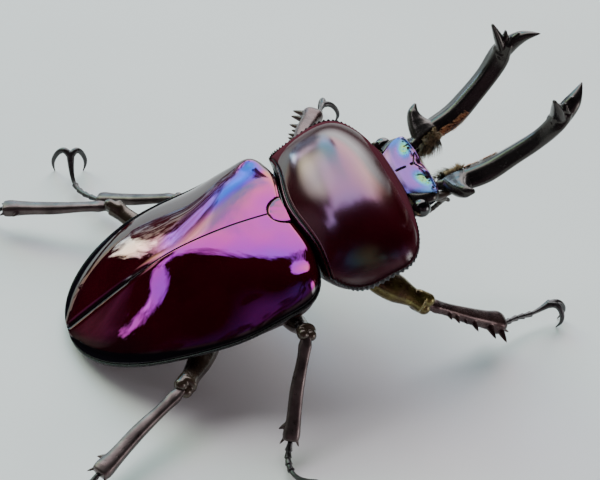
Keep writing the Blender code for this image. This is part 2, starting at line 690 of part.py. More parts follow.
def antenna(side):
    """One elbowed feeler with its club of flat leaves."""
    name = "antenna_left" if side > 0 else "antenna_right"
    pieces = []
    for piece, path in ((name, SCAPE_PATH), ("funicle", FUNICLE_PATH)):
        samples = curve_through(in_metres(path, side), 2)
        pieces.append(tube(piece, samples, FINE_SIDES, domes=(0.6, 0.6)))
    for leaf in range(CLUB_LEAVES):
        root = Vector(FUNICLE_PATH[-1][0]) + CLUB_STEP * leaf
        reach = CLUB_DIRECTION * CLUB_LENGTH
        points = (root + CLUB_ROOT, root + reach / 2, root + reach)
        samples = in_metres(list(zip(points, LEAF_RADII)), side)
        pieces.append(tube("leaf", samples, LIMB_SIDES, LEAF_FLATNESS, Vector((1, 0, 0)), (0.6, 0.8)))
    return fuse(pieces)


def palp(side):
    """One mouth feeler under the head."""
    name = "palp_left" if side > 0 else "palp_right"
    return tube(name, curve_through(in_metres(PALP_PATH, side), 2), FINE_SIDES, domes=(0.6, 0.8))


def femur_samples(leg):
    """The coxa, trochanter and femur of a leg as one run of samples."""
    widths = LEG_WIDTHS[leg.split("_")[0]]
    coxa = body_mm(LEGS[leg]["coxa"])
    knee = floor_mm(LEGS[leg]["knee"])
    outward = Vector((knee.x - coxa.x, knee.y - coxa.y, 0.0)).normalized()
    hip = coxa + outward * HIP_REACH - Vector((0, 0, HIP_DROP))
    knots = [(coxa, widths["coxa"] * MM)]
    for share, key, factor in FEMUR_SHAPE:
        knots.append((hip + (knee - hip) * share, widths[key] * factor * MM))
    return curve_through(knots, 2)


def femur(leg, grow=0.0):
    """The upper leg with its hip, or its larger cutter."""
    samples = femur_samples(leg)
    return tube("femur_" + leg, samples, SHAFT_SIDES, FEMUR_FLATNESS, domes=(0.8, 1.0), grow=grow)


def outer_direction(leg):
    """The level direction that a lower leg's outer edge faces."""
    run = floor_mm(LEGS[leg]["apex"]) - floor_mm(LEGS[leg]["knee"])
    side = 1 if leg.endswith("left") else -1
    return Vector((-run.y, run.x, 0.0)).normalized() * side


def spine(name, root, direction, length, radius):
    """A tapered spine, its root sunk into what it grows from."""
    direction = direction.normalized()
    samples = [
        (root - direction * radius, radius),
        (root + direction * length / 2, radius * SPINE_MIDDLE),
        (root + direction * length, SPINE_TIP),
    ]
    return tube(name, samples, SPINE_SIDES)


def tibia(leg):
    """The lower leg with its teeth and spurs."""
    pair = leg.split("_")[0]
    knee, apex = floor_mm(LEGS[leg]["knee"]), floor_mm(LEGS[leg]["apex"])
    along = (apex - knee).normalized()
    outer = outer_direction(leg)
    start = knee + along * (LEG_WIDTHS[pair]["knee"] * MM + GAP)
    low, high = (width * MM for width in LEG_WIDTHS[pair]["tibia"])
    knots = []
    for share, blend, bend in TIBIA_SHAPE:
        knots.append((start + (apex - start) * share + outer * bend * MM, low + (high - low) * blend))
    up = outer.cross(along).normalized()
    samples = curve_through(knots, 2)
    pieces = [tube("tibia_" + leg, samples, LIMB_SIDES, TIBIA_FLATNESS, up, (0.0, TIBIA_DOME))]
    teeth, tooth_lean, spurs = FRONT_TEETH, FRONT_TOOTH_LEAN, FRONT_SPURS
    if pair != "front":
        teeth, tooth_lean, spurs = REAR_TEETH, REAR_TOOTH_LEAN, REAR_SPURS

    def lean(parts):
        return outer * parts[0] + along * parts[1] + Vector((0, 0, parts[2]))

    for place, size in teeth:
        root = start + (apex - start) * place + outer * (low + (high - low) * place) * TOOTH_SEAT
        radius = (TOOTH_RADIUS + TOOTH_RADIUS_GROWTH * size) * MM
        pieces.append(spine("tooth", root, lean(tooth_lean), size * MM, radius))
    for across, direction, length, radius in spurs:
        root = apex + outer * high * across - along * SPUR_SETBACK
        pieces.append(spine("spur", root, lean(direction), length * MM, radius * MM))
    return fuse(pieces)


def tarsus(leg):
    """The foot: four short joints, a long one and two claws that stand on the floor."""
    knee, apex = floor_mm(LEGS[leg]["knee"]), floor_mm(LEGS[leg]["apex"])
    along = (apex - knee).normalized()
    leg_end = LEG_WIDTHS[leg.split("_")[0]]["tibia"][1] * MM * TIBIA_DOME
    route = [(apex + along * (leg_end + GAP), 0.0)]
    route += [(floor_mm(point), 0.0) for point in LEGS[leg]["tarsus"]]
    track = [sample[0] for sample in curve_through(route, TARSUS_STEPS)]
    short_end = 2 * TARSUS_STEPS
    joint_steps = short_end // SHORT_TARSOMERES
    samples = [(track[0], TARSUS_NECK * MM)]
    for joint in range(SHORT_TARSOMERES):
        for share, width in TARSOMERE_SHAPE:
            samples.append((track[joint * joint_steps + round(joint_steps * share)], width * MM))
    for share, width in LAST_TARSOMERE_SHAPE:
        samples.append((track[short_end + round(TARSUS_STEPS * share)], width * MM))
    pieces = [tube("tarsus_" + leg, samples, FINE_SIDES, domes=(0.0, 0.9))]
    end = track[-1]
    forward = (end - track[-4]).normalized()
    across = Vector((forward.y, -forward.x, 0.0)).normalized()
    for tip_mm in LEGS[leg]["claws"]:
        tip = floor_mm(tip_mm)
        arch = Vector(((tip.x - end.x) / 2, (tip.y - end.y) / 2, 0.0)) + forward * CLAW_ARCH
        points = (
            end - forward * CLAW_SINK,
            end + arch * 0.75 + Vector((0, 0, CLAW_HUMP)),
            tip + arch * 0.3 + Vector((0, 0, end.z * CLAW_DROP_HEIGHT)),
            tip - Vector((0, 0, CLAW_BELOW_FLOOR)),
        )
        knots = [(point, radius * MM) for point, radius in zip(points, CLAW_RADII)]
        pieces.append(tube("claw", curve_through(knots, 2), FINE_SIDES, up=across, domes=(0.6, 0.0)))
    return stand_on_floor(fuse(pieces))


def stand_on_floor(thing):
    """Cuts an object level at z = 0 and closes the cuts."""
    work = bmesh.new()
    work.from_mesh(thing.data)
    parts = work.verts[:] + work.edges[:] + work.faces[:]
    cut = bmesh.ops.bisect_plane(
        work, geom=parts, plane_co=(0, 0, 0), plane_no=(0, 0, 1), clear_inner=True, dist=1e-7
    )
    rim = [item for item in cut["geom_cut"] if isinstance(item, bmesh.types.BMEdge)]
    bmesh.ops.holes_fill(work, edges=rim)
    bmesh.ops.triangulate(work, faces=work.faces[:])
    bmesh.ops.recalc_face_normals(work, faces=work.faces[:])
    work.to_mesh(thing.data)
    work.free()
    return thing


def centre_model(things):
    """Moves every mesh so that the model's box stands centred on the origin."""
    corners = [vert.co for thing in things for vert in thing.data.vertices]
    low = Vector([min(corner[axis] for corner in corners) for axis in range(3)])
    high = Vector([max(corner[axis] for corner in corners) for axis in range(3)])
    shift = Vector((-(low.x + high.x) / 2, -(low.y + high.y) / 2, -low.z))
    for thing in things:
        for vert in thing.data.vertices:
            vert.co += shift


def build():
    """Builds every part of the beetle and gives it its surface."""
    for thing in list(bpy.data.objects):
        bpy.data.objects.remove(thing)
    parts = {}
    for side in (1, -1):
        parts[elytron(side)] = "elytra"
        parts[mandible(side)] = "black"
        parts[antenna(side)] = "feeler"
        parts[palp(side)] = "feeler"
        name = "eye_left" if side > 0 else "eye_right"
        parts[ball(name, body_mm(EYE_CENTRE, side), EYE_RADIUS)] = "black"
    parts[scutellum_post("scutellum", 0.0, SCUTELLUM_RISE)] = "elytra"
    parts[pronotum()] = "pronotum"
    parts[head()] = "head"
    parts[carve(prosternum(), [femur(leg, GAP) for leg in LEGS if leg.startswith("front")])] = "underside"
    rear_legs = [leg for leg in LEGS if not leg.startswith("front")]
    parts[carve(metathorax(), [femur(leg, GAP) for leg in rear_legs])] = "underside"
    parts[carve(abdomen(), [femur(leg, GAP) for leg in LEGS if leg.startswith("hind")])] = "underside"
    for leg in LEGS:
        parts[femur(leg)] = "femur"
        parts[tibia(leg)] = "tibia"
        parts[tarsus(leg)] = "tarsus"
    centre_model(list(parts))
    for thing, surface in parts.items():
        dress(thing, surface)


build()
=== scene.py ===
"""The finished look of the rainbow stag beetle, in a plain studio, from the photograph's side.

Lengths are in millimetres until a mesh is made. Body parts are laid out in the body frame (x
forward, y left, z up from the tip of the scutellum), legs in the model's own frame, as in the
CAD source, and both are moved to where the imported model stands.
"""
import math

import bmesh
import bpy
import numpy as np
from mathutils import Matrix, Vector


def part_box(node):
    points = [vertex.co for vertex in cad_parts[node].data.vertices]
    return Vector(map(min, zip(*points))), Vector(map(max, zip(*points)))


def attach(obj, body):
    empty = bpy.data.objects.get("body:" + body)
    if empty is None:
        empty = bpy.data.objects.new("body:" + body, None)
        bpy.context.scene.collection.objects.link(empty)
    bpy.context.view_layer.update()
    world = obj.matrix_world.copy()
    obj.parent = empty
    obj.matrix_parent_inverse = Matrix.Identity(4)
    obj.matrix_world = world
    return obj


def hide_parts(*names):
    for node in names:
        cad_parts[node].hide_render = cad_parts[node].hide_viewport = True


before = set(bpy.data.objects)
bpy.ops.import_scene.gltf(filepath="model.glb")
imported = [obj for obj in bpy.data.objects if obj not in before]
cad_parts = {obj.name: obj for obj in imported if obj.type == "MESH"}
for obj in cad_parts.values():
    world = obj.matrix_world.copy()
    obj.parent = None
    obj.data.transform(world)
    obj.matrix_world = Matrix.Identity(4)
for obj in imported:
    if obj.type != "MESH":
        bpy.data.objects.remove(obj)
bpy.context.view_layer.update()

MM = 0.001
PITCH = math.radians(15.0)
SCUTELLUM_HEIGHT = 15.75

# Wing cases
ELYTRA_HALF_WIDTH = 12.2
ELYTRA_WIDEST_X = -5.0
ELYTRA_TIP_X = -25.4
SHOULDER_X = 3.9
REAR_ROUNDING = (2.3, 2.2)
SHOULDER_ROUNDING = (7.0, 2.4)
RIM_HEIGHTS = ((3.3, -3.0), (1.0, -4.2), (-3.0, -5.1), (-11.0, -6.0), (-19.5, -6.9), (-25.4, -8.3))
CREST_HEIGHTS = ((2.5, -0.1), (-4.0, 0.15), (-8.2, -0.25), (-12.9, -1.4), (-20.0, -4.95), (-25.4, -8.1))
SECTION_POWER = ((3.0, 4.0), (-0.5, 3.8), (-6.0, 2.2), (-25.0, 2.0))
SECTION_FULLNESS = ((3.0, 0.5), (-1.0, 0.5), (-6.0, 0.72), (-10.0, 0.62), (-15.0, 0.5))
MARGIN_WIDTHS = ((3.0, 0.08), (-8.0, 0.12), (-14.0, 0.4), (-19.0, 0.9), (-25.4, 1.4))
MARGIN_FILLET = 0.004
# Outward and upward steps of the raised edge, from the end of the dome to under the edge
RIM_BEAD = (
    (-0.33, -0.04), (-0.3, -0.09), (-0.26, -0.11), (-0.22, -0.08), (-0.18, -0.01), (-0.13, 0.03),
    (-0.07, 0.02), (-0.02, -0.05), (0.0, -0.14), (-0.01, -0.24), (-0.05, -0.33), (-0.14, -0.38),
)
RIM_WIDTH = 0.36
SUTURE = 0.02
HUMP_CENTRE = (0.55, 10.05)
HUMP_SIZE = (1.4, 1.45)
HUMP_HEIGHT = 0.7
# Reliefs are height, place and width of beads and grooves beside a line
SUTURE_ROLL = (-0.07, SUTURE, 0.045)
SUTURE_SLOPE = (-0.2, 0.0, 0.42)
ELYTRA_FRONT_RELIEF = ((-0.12, 0.35, 0.22), (-0.25, 0.12, 0.12))
SCUTELLUM_BED = -0.35
RIM_KNOB = 0.045
RIM_KNOB_SPACING = 0.55
SHELL_THICKNESS = 0.6
# The rear tip's edge and slopes shrink where half the width is less than this
FULL_HALF_WIDTH = 3.0
# The line between wing cases and pronotum, which bows forward at its sides
WAIST_X = 2.45
WAIST_BOW = 1.2
WAIST_BOW_WIDTH = 8.0
# How far from that line its bow fades out on each
ELYTRA_BOW_LENGTH = 7.0
PRONOTUM_BOW_LENGTH = 5.0
ELYTRA_FRONT_X = WAIST_X - 0.15
PRONOTUM_REAR_X = WAIST_X + 0.12
SCUTELLUM_X = WAIST_X - 0.1
SCUTELLUM_RADIUS = 2.1
# Share of the radius, and how far the skin has dropped there
SCUTELLUM_RINGS = ((0.03, 0.0), (0.35, 0.0), (0.7, 0.01), (0.9, 0.02), (0.96, 0.05), (1.0, 0.14), (1.0, 0.9))
# Film thickness in nanometres. What is added in front and at the edge comes in between two places
ELYTRA_FILM = 263.0
FRONT_FILM = (7.0, -3.5, 0.5)
EDGE_FILM = (-9.0, 5.5, 9.0)
SHOULDER_FILM = 44.0
# Where the left shoulder's band crosses the body frame's y axis in plan, and how it leans
SHOULDER_BAND_Y = 8.1
SHOULDER_BAND_LEAN = 0.55

# Pronotum
PRONOTUM_HALF_WIDTH = 12.95
PRONOTUM_WIDEST_X = 11.0
PRONOTUM_FRONT_X = 16.0
PRONOTUM_REAR_LOBE = (8.8, 3.0, 3.4)
PRONOTUM_FRONT_LOBE = (5.2, 2.4, 2.3)
PRONOTUM_MARGIN = ((3.0, -2.0), (5.5, -2.9), (8.0, -2.7), (10.0, -1.9), (12.0, -1.4), (16.0, -0.9))
PRONOTUM_CREST = ((2.5, 0.1), (5.0, 1.9), (8.0, 3.1), (10.5, 3.4), (13.0, 2.5), (15.0, 1.1), (16.0, 0.2))
PRONOTUM_POWER = 2.8
PRONOTUM_FULLNESS = 0.64
# Film thickness, what is added between two places on each side, and how far the right one's patch
# reaches from its place
PRONOTUM_FILM = 262.0
PRONOTUM_LEFT_FILM = (-12.0, 8.5, 11.0)
PRONOTUM_RIGHT_FILM = (70.0, 8.2, 10.2)
PRONOTUM_RIGHT_PATCH = (8.5, 2.6)
# The raised side edge and its knobs, the front and rear beads, and the grooves inside them
KNOB_SPACING = 0.6
KNOB_HEIGHT = 0.2
SIDE_BEAD = (0.22, 0.1, 0.15)
SIDE_GROOVE = (-0.1, 0.36, 0.12)
REAR_RELIEF = ((0.1, 0.12, 0.13), (-0.3, 0.42, 0.16), (-0.3, 0.0, 0.06))
FRONT_RELIEF = ((0.1, 0.15, 0.13), (-0.16, 0.42, 0.16), (-0.25, 0.0, 0.06))
# The underside's points: shares of the half width, drops below the edge and push of the knobs
UNDER_SHARES = (0.99, 0.88, 0.5, 0.0, -0.5, -0.88, -0.99)
UNDER_DROPS = (0.15, 0.4, 0.4, 0.4, 0.4, 0.4, 0.15)
UNDER_PUSH = (1.0, 0.0, 0.0, 0.0, 0.0, 0.0, -1.0)
PROSTERNUM_DEPTH = ((2.5, -6.3), (5.0, -7.3), (9.0, -7.9), (13.0, -7.0), (16.0, -5.6))

# Hind body
METATHORAX_REAR_X = -9.6
ABDOMEN_TIP_X = -24.2
ABDOMEN_STEPS = [METATHORAX_REAR_X - 0.3 - 2.86 * plate for plate in range(1, 5)]
STEP_HEIGHT = 0.22
HIND_DEPTH = ((2.3, -8.4), (-3.0, -9.9), (-9.0, -10.2), (-16.0, -9.9), (-21.0, -9.4), (-24.4, -8.9))

# Head
HEAD_REAR_X = 15.7
HEAD_FRONT_X = 20.1
HEAD_HALF_WIDTH = (
    (15.6, 3.3), (16.4, 3.7), (17.4, 4.4), (18.4, 4.85), (19.0, 4.95), (19.35, 4.8), (19.7, 4.3), (20.1, 3.4),
)
HEAD_TOP = ((15.6, -0.1), (16.4, 0.3), (17.6, 0.55), (18.6, 0.66), (19.2, 0.6), (19.6, 0.35), (20.1, -0.5))
HEAD_BOTTOM = ((15.6, -4.6), (17.2, -5.0), (18.3, -4.7), (19.2, -4.1), (20.1, -3.3))
HEAD_FILM = 298.0
HEAD_SIDE_FILM = 330.0
# Forward and sideways place and size on each half of the head, and a lean
HEAD_HOLLOW = (18.5, 2.75, 0.75, 1.15, 0.25)
HEAD_LOBE = (19.25, 1.75, 0.34, 0.62, 0.15)
# Height, then place and size as above
HEAD_BUMPS = (
    (0.05, 18.35, 2.6, 0.22, 0.3), (0.05, 18.75, 3.3, 0.16, 0.2),
    (0.08, 18.9, 4.2, 0.22, 0.3), (0.06, 19.2, 3.5, 0.14, 0.22),
)
HEAD_PITS = (
    (-0.14, 19.1, 2.7, 0.15, 0.15), (-0.1, 19.05, 3.2, 0.12, 0.12), (-0.2, 19.0, 4.35, 0.12, 0.12),
)
# Place and half length of the short line, and place and width of the groove beside the lobe
HEAD_REAR_LINE = (16.85, 0.62)
HEAD_LOBE_GROOVE = (18.82, 0.09)
HEAD_FORK_X = 18.45
HEAD_RIM = (0.1, 19.52, 0.09)
HEAD_RIM_GROOVE_X = 19.33
EYE_CENTRE = (16.95, 5.5, -0.95)
EYE_RADIUS = 1.1
CANTHUS_INNER = ((16.2, 3.7, 0.05), (17.4, 4.35, 0.2), (18.5, 4.75, 0.3), (19.4, 4.7, 0.2))
CANTHUS_OUTER = ((16.3, 4.8, -0.35), (17.3, 5.35, -0.4), (18.4, 5.5, -0.5), (19.4, 5.1, -0.7))
CHEEK_PATH = (((18.4, 4.4, -0.7), 0.75), ((19.8, 4.75, -0.75), 0.5), ((21.6, 4.9, -0.6), 0.22))
MANDIBLE_SHAFT = (
    ((20.1, 3.6, -0.3), 0.75),
    ((21.6, 4.2, 0.0), 1.1),
    ((23.4, 4.6, 0.4), 1.45),
    ((25.5, 4.9, 1.0), 1.5),
    ((28.4, 5.5, 2.9), 1.35),
    ((31.1, 6.2, 5.1), 1.3),
    ((32.7, 6.6, 7.2), 1.35),
    ((33.4, 6.6, 8.6), 1.15),
)
MANDIBLE_LONG_TINE = (((32.6, 6.6, 7.2), 1.25), ((34.8, 6.1, 9.1), 0.95), ((36.6, 4.7, 10.1), 0.1))
MANDIBLE_SHORT_TINE = (((32.9, 6.6, 7.6), 1.15), ((32.3, 7.0, 9.6), 0.85), ((31.7, 7.2, 11.1), 0.35))
MANDIBLE_WEB = (((32.9, 6.6, 7.6), 1.2), ((33.3, 6.85, 9.2), 0.75), ((33.3, 6.9, 9.85), 0.35))
MANDIBLE_FRONT_WEB = (((32.9, 6.6, 7.6), 1.2), ((34.1, 6.4, 9.3), 0.6), ((34.5, 6.2, 9.75), 0.3))
MANDIBLE_BRANCHES = (
    (MANDIBLE_LONG_TINE, 0.8), (MANDIBLE_SHORT_TINE, 0.6), (MANDIBLE_WEB, 0.5), (MANDIBLE_FRONT_WEB, 0.5),
)
HOOK_INNER = ((25.0, 4.4, 0.7), (23.6, 5.3, 0.6), (22.7, 6.2, 0.95), (22.3, 7.1, 1.45), (22.45, 7.9, 1.9))
HOOK_OUTER = ((20.2, 3.5, -0.2), (20.3, 5.3, 0.4), (20.6, 6.6, 1.0), (21.2, 7.6, 1.6), (22.2, 8.05, 2.0))
HOOK_THICKNESS = (2.2, 2.3, 2.1, 1.6, 0.5)
MANDIBLE_FLATNESS = 0.78
SCAPE_PATH = (((19.0, 4.3, -1.6), 0.3), ((19.8, 4.3, -1.9), 0.27), ((20.6, 4.0, -2.5), 0.34))
FUNICLE_PATH = (
    ((20.6, 4.0, -2.5), 0.28),
    ((20.0, 3.4, -3.9), 0.27),
    ((19.2, 2.9, -5.1), 0.27),
    ((18.7, 2.4, -5.7), 0.3),
)
PALP_PATH = (((20.4, 1.3, -3.9), 0.3), ((21.4, 1.7, -4.8), 0.32), ((22.2, 2.0, -5.4), 0.26))

# Legs: coxa in the body frame, other points in the model's frame
LEGS = {
    "front_right": {
        "coxa": (8.0, -4.2, -7.0), "knee": (17.5, -10.9, 8.5), "apex": (29.2, -12.1, 3.4),
        "tarsus": ((32.4, -11.4, 2.9), (34.9, -10.9, 2.5), (38.0, -10.2, 3.0)),
        "claws": ((39.2, -11.9, 0.0), (40.2, -10.6, 0.0)),
    },
    "front_left": {
        "coxa": (8.0, 4.2, -7.0), "knee": (10.1, 15.6, 10.6), "apex": (17.7, 25.9, 7.8),
        "tarsus": ((19.8, 28.3, 5.8), (21.3, 30.6, 4.3), (23.3, 33.6, 3.1)),
        "claws": ((25.4, 32.7, 0.0), (23.8, 35.4, 0.0)),
    },
    "middle_right": {
        "coxa": (-1.0, -4.2, -9.6), "knee": (0.9, -13.6, 10.5), "apex": (-2.6, -21.6, 2.5),
        "tarsus": ((-3.2, -23.0, 1.2), (-3.4, -24.6, 1.1), (-2.3, -28.0, 3.2)),
        "claws": ((-3.6, -30.0, 0.0), (-0.2, -29.4, 0.0)),
    },
    "middle_left": {
        "coxa": (-1.0, 4.2, -9.6), "knee": (-5.6, 13.2, 7.1), "apex": (-13.9, 19.6, 2.4),
        "tarsus": ((-15.6, 22.3, 1.4), (-16.1, 24.2, 1.2), (-16.0, 27.7, 3.5)),
        "claws": ((-17.8, 28.6, 0.0), (-14.1, 28.0, 0.0)),
    },
    "hind_right": {
        "coxa": (-8.0, -4.6, -9.9), "knee": (-12.6, -13.8, 5.0), "apex": (-23.5, -20.7, 2.5),
        "tarsus": ((-25.7, -22.1, 1.4), (-28.4, -23.6, 1.1), (-32.1, -25.8, 3.2)),
        "claws": ((-34.0, -25.4, 0.0), (-32.2, -27.8, 0.0)),
    },
    "hind_left": {
        "coxa": (-8.0, 4.6, -9.9), "knee": (-13.5, 15.2, 5.2), "apex": (-26.0, 19.3, 3.0),
        "tarsus": ((-28.0, 20.4, 1.5), (-30.4, 21.8, 1.1), (-34.0, 24.4, 3.2)),
        "claws": ((-35.8, 24.2, 0.0), (-34.0, 26.4, 0.0)),
    },
}
LEG_WIDTHS = {
    "front": {"coxa": 1.5, "trochanter": 0.9, "femur": 1.8, "knee": 1.35, "tibia": (0.85, 1.45)},
    "middle": {"coxa": 1.4, "trochanter": 0.8, "femur": 1.25, "knee": 1.1, "tibia": (0.74, 0.94)},
    "hind": {"coxa": 1.4, "trochanter": 0.8, "femur": 1.35, "knee": 1.2, "tibia": (0.72, 1.04)},
}
# Share of the length, and the width there with its factor
FEMUR_SHAPE = (
    (0.0, "trochanter", 1.0), (0.3, "femur", 1.0), (0.62, "femur", 1.0),
    (0.86, "knee", 0.9), (0.97, "knee", 1.05),
)
# Share of the length, blend from the first width to the last, outward bend and a factor on the width
TIBIA_SHAPE = (
    (-0.09, 0.0, 0.0, 0.8), (-0.03, 0.0, 0.0, 0.9), (0.03, 0.0, 0.0, 1.08), (0.1, 0.0, 0.0, 1.0),
    (0.5, 0.4, 0.15, 1.0), (0.85, 0.85, 0.0, 1.0), (0.96, 1.0, 0.0, 1.08), (1.0, 1.0, 0.0, 1.0),
)
# Sideways place in tibia widths, outward, forward and upward direction, length and radius
FRONT_SPURS = ((0.55, (0.35, 1.0, 0.0), 1.3, 0.42), (-0.6, (-0.6, 1.0, -0.5), 1.0, 0.26))
REAR_SPURS = (
    (-0.6, (-0.6, 1.0, -0.15), 1.0, 0.27),
    (0.64, (0.64, 1.0, -0.15), 1.1, 0.27),
    (-0.6, (-0.6, 1.0, -0.5), 1.0, 0.26),
)
# Share of the length and size of each tooth, and its outward, forward and upward lean
FRONT_TEETH = ((0.2, 0.9), (0.3, 1.1), (0.42, 0.9), (0.55, 1.55), (0.79, 1.9), (0.95, 2.0))
REAR_TEETH = ((0.86, 1.0),)
FRONT_TOOTH_LEAN = (1.0, 0.2, -0.15)
REAR_TOOTH_LEAN = (1.0, 0.7, 0.0)
SPINE_TIP = 0.04
SHORT_JOINTS = 4
# The room between two joints of a leg
GAP = 0.3
# The least height of a foot's points over the floor
CLEARANCE = 0.004

# Hairs: their rings' places along them and widths there, and the size of a hair's patch on the unwrap
HAIR_SIDES = 3
HAIR_LEVELS = (-0.08, 0.35, 0.7, 1.0)
HAIR_WIDTHS = (1.0, 0.8, 0.5, 0.12)
TUFT_PATCH = 0.003

# Camera, in the legs' frame
CAMERA_PLACE = (-42.77, -80.86, 99.2)
CAMERA_RIGHT = Vector((0.9192, -0.3517, 0.1769))
CAMERA_UP = Vector((0.1303, 0.6958, 0.7063))
FOCAL_LENGTH = 64.8


# Frames

def raw_body(points):
    """Body frame points in the model's frame, in millimetres."""
    points = np.asarray(points, float)
    cosine, sine = math.cos(PITCH), math.sin(PITCH)
    x, y, z = points[..., 0], points[..., 1], points[..., 2]
    return np.stack([x * cosine - z * sine, y, SCUTELLUM_HEIGHT + x * sine + z * cosine], -1)


eye_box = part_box("eye_left")
SHIFT = np.array([(low + high) / 2 for low, high in zip(*eye_box)]) / MM - raw_body(EYE_CENTRE)


def body(points):
    """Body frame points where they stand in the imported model, in millimetres."""
    return raw_body(points) + SHIFT


def ground(points):
    """Points of the legs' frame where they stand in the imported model, in millimetres."""
    return np.asarray(points, float) + SHIFT


# Curves

def spline(knots, xs):
    """Values at xs on a natural cubic spline through (x, value) knots, held beyond its ends."""
    x, y = np.array(sorted(knots), float).T
    count, step = len(x), np.diff(x)
    matrix, right = np.eye(count), np.zeros(count)
    for i in range(1, count - 1):
        matrix[i, i - 1:i + 2] = step[i - 1], 2 * (step[i - 1] + step[i]), step[i]
        right[i] = 6 * ((y[i + 1] - y[i]) / step[i] - (y[i] - y[i - 1]) / step[i - 1])
    bend = np.linalg.solve(matrix, right)
    at = np.clip(xs, x[0], x[-1])
    k = np.clip(np.searchsorted(x, at) - 1, 0, count - 2)
    h, before, after = step[k], at - x[k], x[k + 1] - at
    return (
        (bend[k] * after ** 3 + bend[k + 1] * before ** 3) / (6 * h)
        + (y[k] / h - bend[k] * h / 6) * after
        + (y[k + 1] / h - bend[k + 1] * h / 6) * before
    )


def through(points, radii, count):
    """Points and radii at count places, evenly spaced on a smooth curve through the given ones."""
    points, radii = np.asarray(points, float), np.asarray(radii, float)
    steps = np.linalg.norm(np.diff(points, axis=0), axis=1)
    places = np.concatenate([[0.0], np.cumsum(steps)])
    at = np.linspace(0.0, places[-1], count)
    line = np.stack([spline(list(zip(places, points[:, axis])), at) for axis in range(3)], -1)
    return line, np.interp(at, places, radii) * 0.5 + spline(list(zip(places, radii)), at) * 0.5


def eased(value, low, high):
    """A soft step from 0 at low to 1 at high."""
    share = np.clip((value - low) / (high - low), 0.0, 1.0)
    return share * share * (3.0 - 2.0 * share)


def bell(value, size, power=2):
    """1 where a value is 0, and fading to 0 on both sides over a size."""
    return np.exp(-((value / size) ** power))


def relief(distance, *beads):
    """Height of beads and grooves at a distance from the line they lie beside."""
    return sum(height * bell(distance - place, width) for height, place, width in beads)


def added(value, amount, low, high):
    """An amount that comes in between low and high."""
    return amount * eased(value, low, high)


def spread(count):
    """Shares from 0 to 1, closer together towards both ends."""
    return 0.5 - 0.5 * np.cos(np.pi * np.arange(count) / (count - 1))


def repeated(x, y):
    """Places x, repeated for every column of the grid y."""
    return np.repeat(x[:, None], y.shape[1], 1)


def unit(vectors):
    """Vectors scaled to length 1."""
    vectors = np.asarray(vectors, float)
    return vectors / np.maximum(np.linalg.norm(vectors, axis=-1, keepdims=True), 1e-9)


# Meshes

def loft(rings):
    """Points and faces of a closed skin through rings of points."""
    rings = np.asarray(rings, float)
    rows, columns = rings.shape[:2]
    index = np.arange(rows * columns).reshape(rows, columns)
    turned = np.roll(index, -1, 1)
    faces = np.stack([index[:-1], turned[:-1], turned[1:], index[1:]], -1).reshape(-1, 4).tolist()
    faces += [index[0][::-1].tolist(), index[-1].tolist()]
    return rings.reshape(-1, 3), faces


def merge(shapes):
    """One set of points and faces from several."""
    points, faces, start = [], [], 0
    for shape_points, shape_faces in shapes:
        points.append(shape_points)
        faces += [[corner + start for corner in face] for face in shape_faces]
        start += len(shape_points)
    return np.concatenate(points), faces


def piece(name, shape, material, nodes=(), trim=None, values=None):
    """A smooth object from points in millimetres that stands for some CAD nodes.

    trim is a material and a flag for each point, and covers the faces whose points all have it.
    values holds named numbers, one for each point, for the material to read.
    """
    points, faces = shape
    mesh = bpy.data.meshes.new(name)
    mesh.from_pydata((np.asarray(points) * MM).tolist(), [], faces)
    mesh.materials.append(material)
    if trim:
        mesh.materials.append(trim[0])
        flags = np.asarray(trim[1])
        for polygon, face in zip(mesh.polygons, faces):
            polygon.material_index = int(flags[face].all())
    for key, numbers in (values or {}).items():
        layer = mesh.attributes.new(key, "FLOAT", "POINT")
        layer.data.foreach_set("value", np.asarray(numbers, float))
    work = bmesh.new()
    work.from_mesh(mesh)
    bmesh.ops.recalc_face_normals(work, faces=work.faces[:])
    work.to_mesh(mesh)
    work.free()
    mesh.shade_smooth()
    thing = bpy.data.objects.new(name, mesh)
    bpy.context.scene.collection.objects.link(thing)
    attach(thing, "root")
    if nodes:
        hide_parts(*nodes)
    return thing


def melt(thing, voxel, rounds):
    """Fuses an object's overlapping shells into one skin and rounds its joins."""
    remesh = thing.modifiers.new("fuse", "REMESH")
    remesh.mode = "VOXEL"
    remesh.voxel_size = voxel * MM
    remesh.use_smooth_shade = True
    relax = thing.modifiers.new("relax", "SMOOTH")
    relax.factor = 0.6
    relax.iterations = rounds
    apply_modifiers(thing)


def apply_modifiers(thing):
    """Replaces an object's mesh by its mesh with the modifiers applied."""
    graph = bpy.context.evaluated_depsgraph_get()
    mesh = bpy.data.meshes.new_from_object(thing.evaluated_get(graph))
    materials = [slot.material for slot in thing.material_slots]
    thing.modifiers.clear()
    thing.data = mesh
    mesh.materials.clear()
    for material in materials:
        mesh.materials.append(material)
    mesh.shade_smooth()


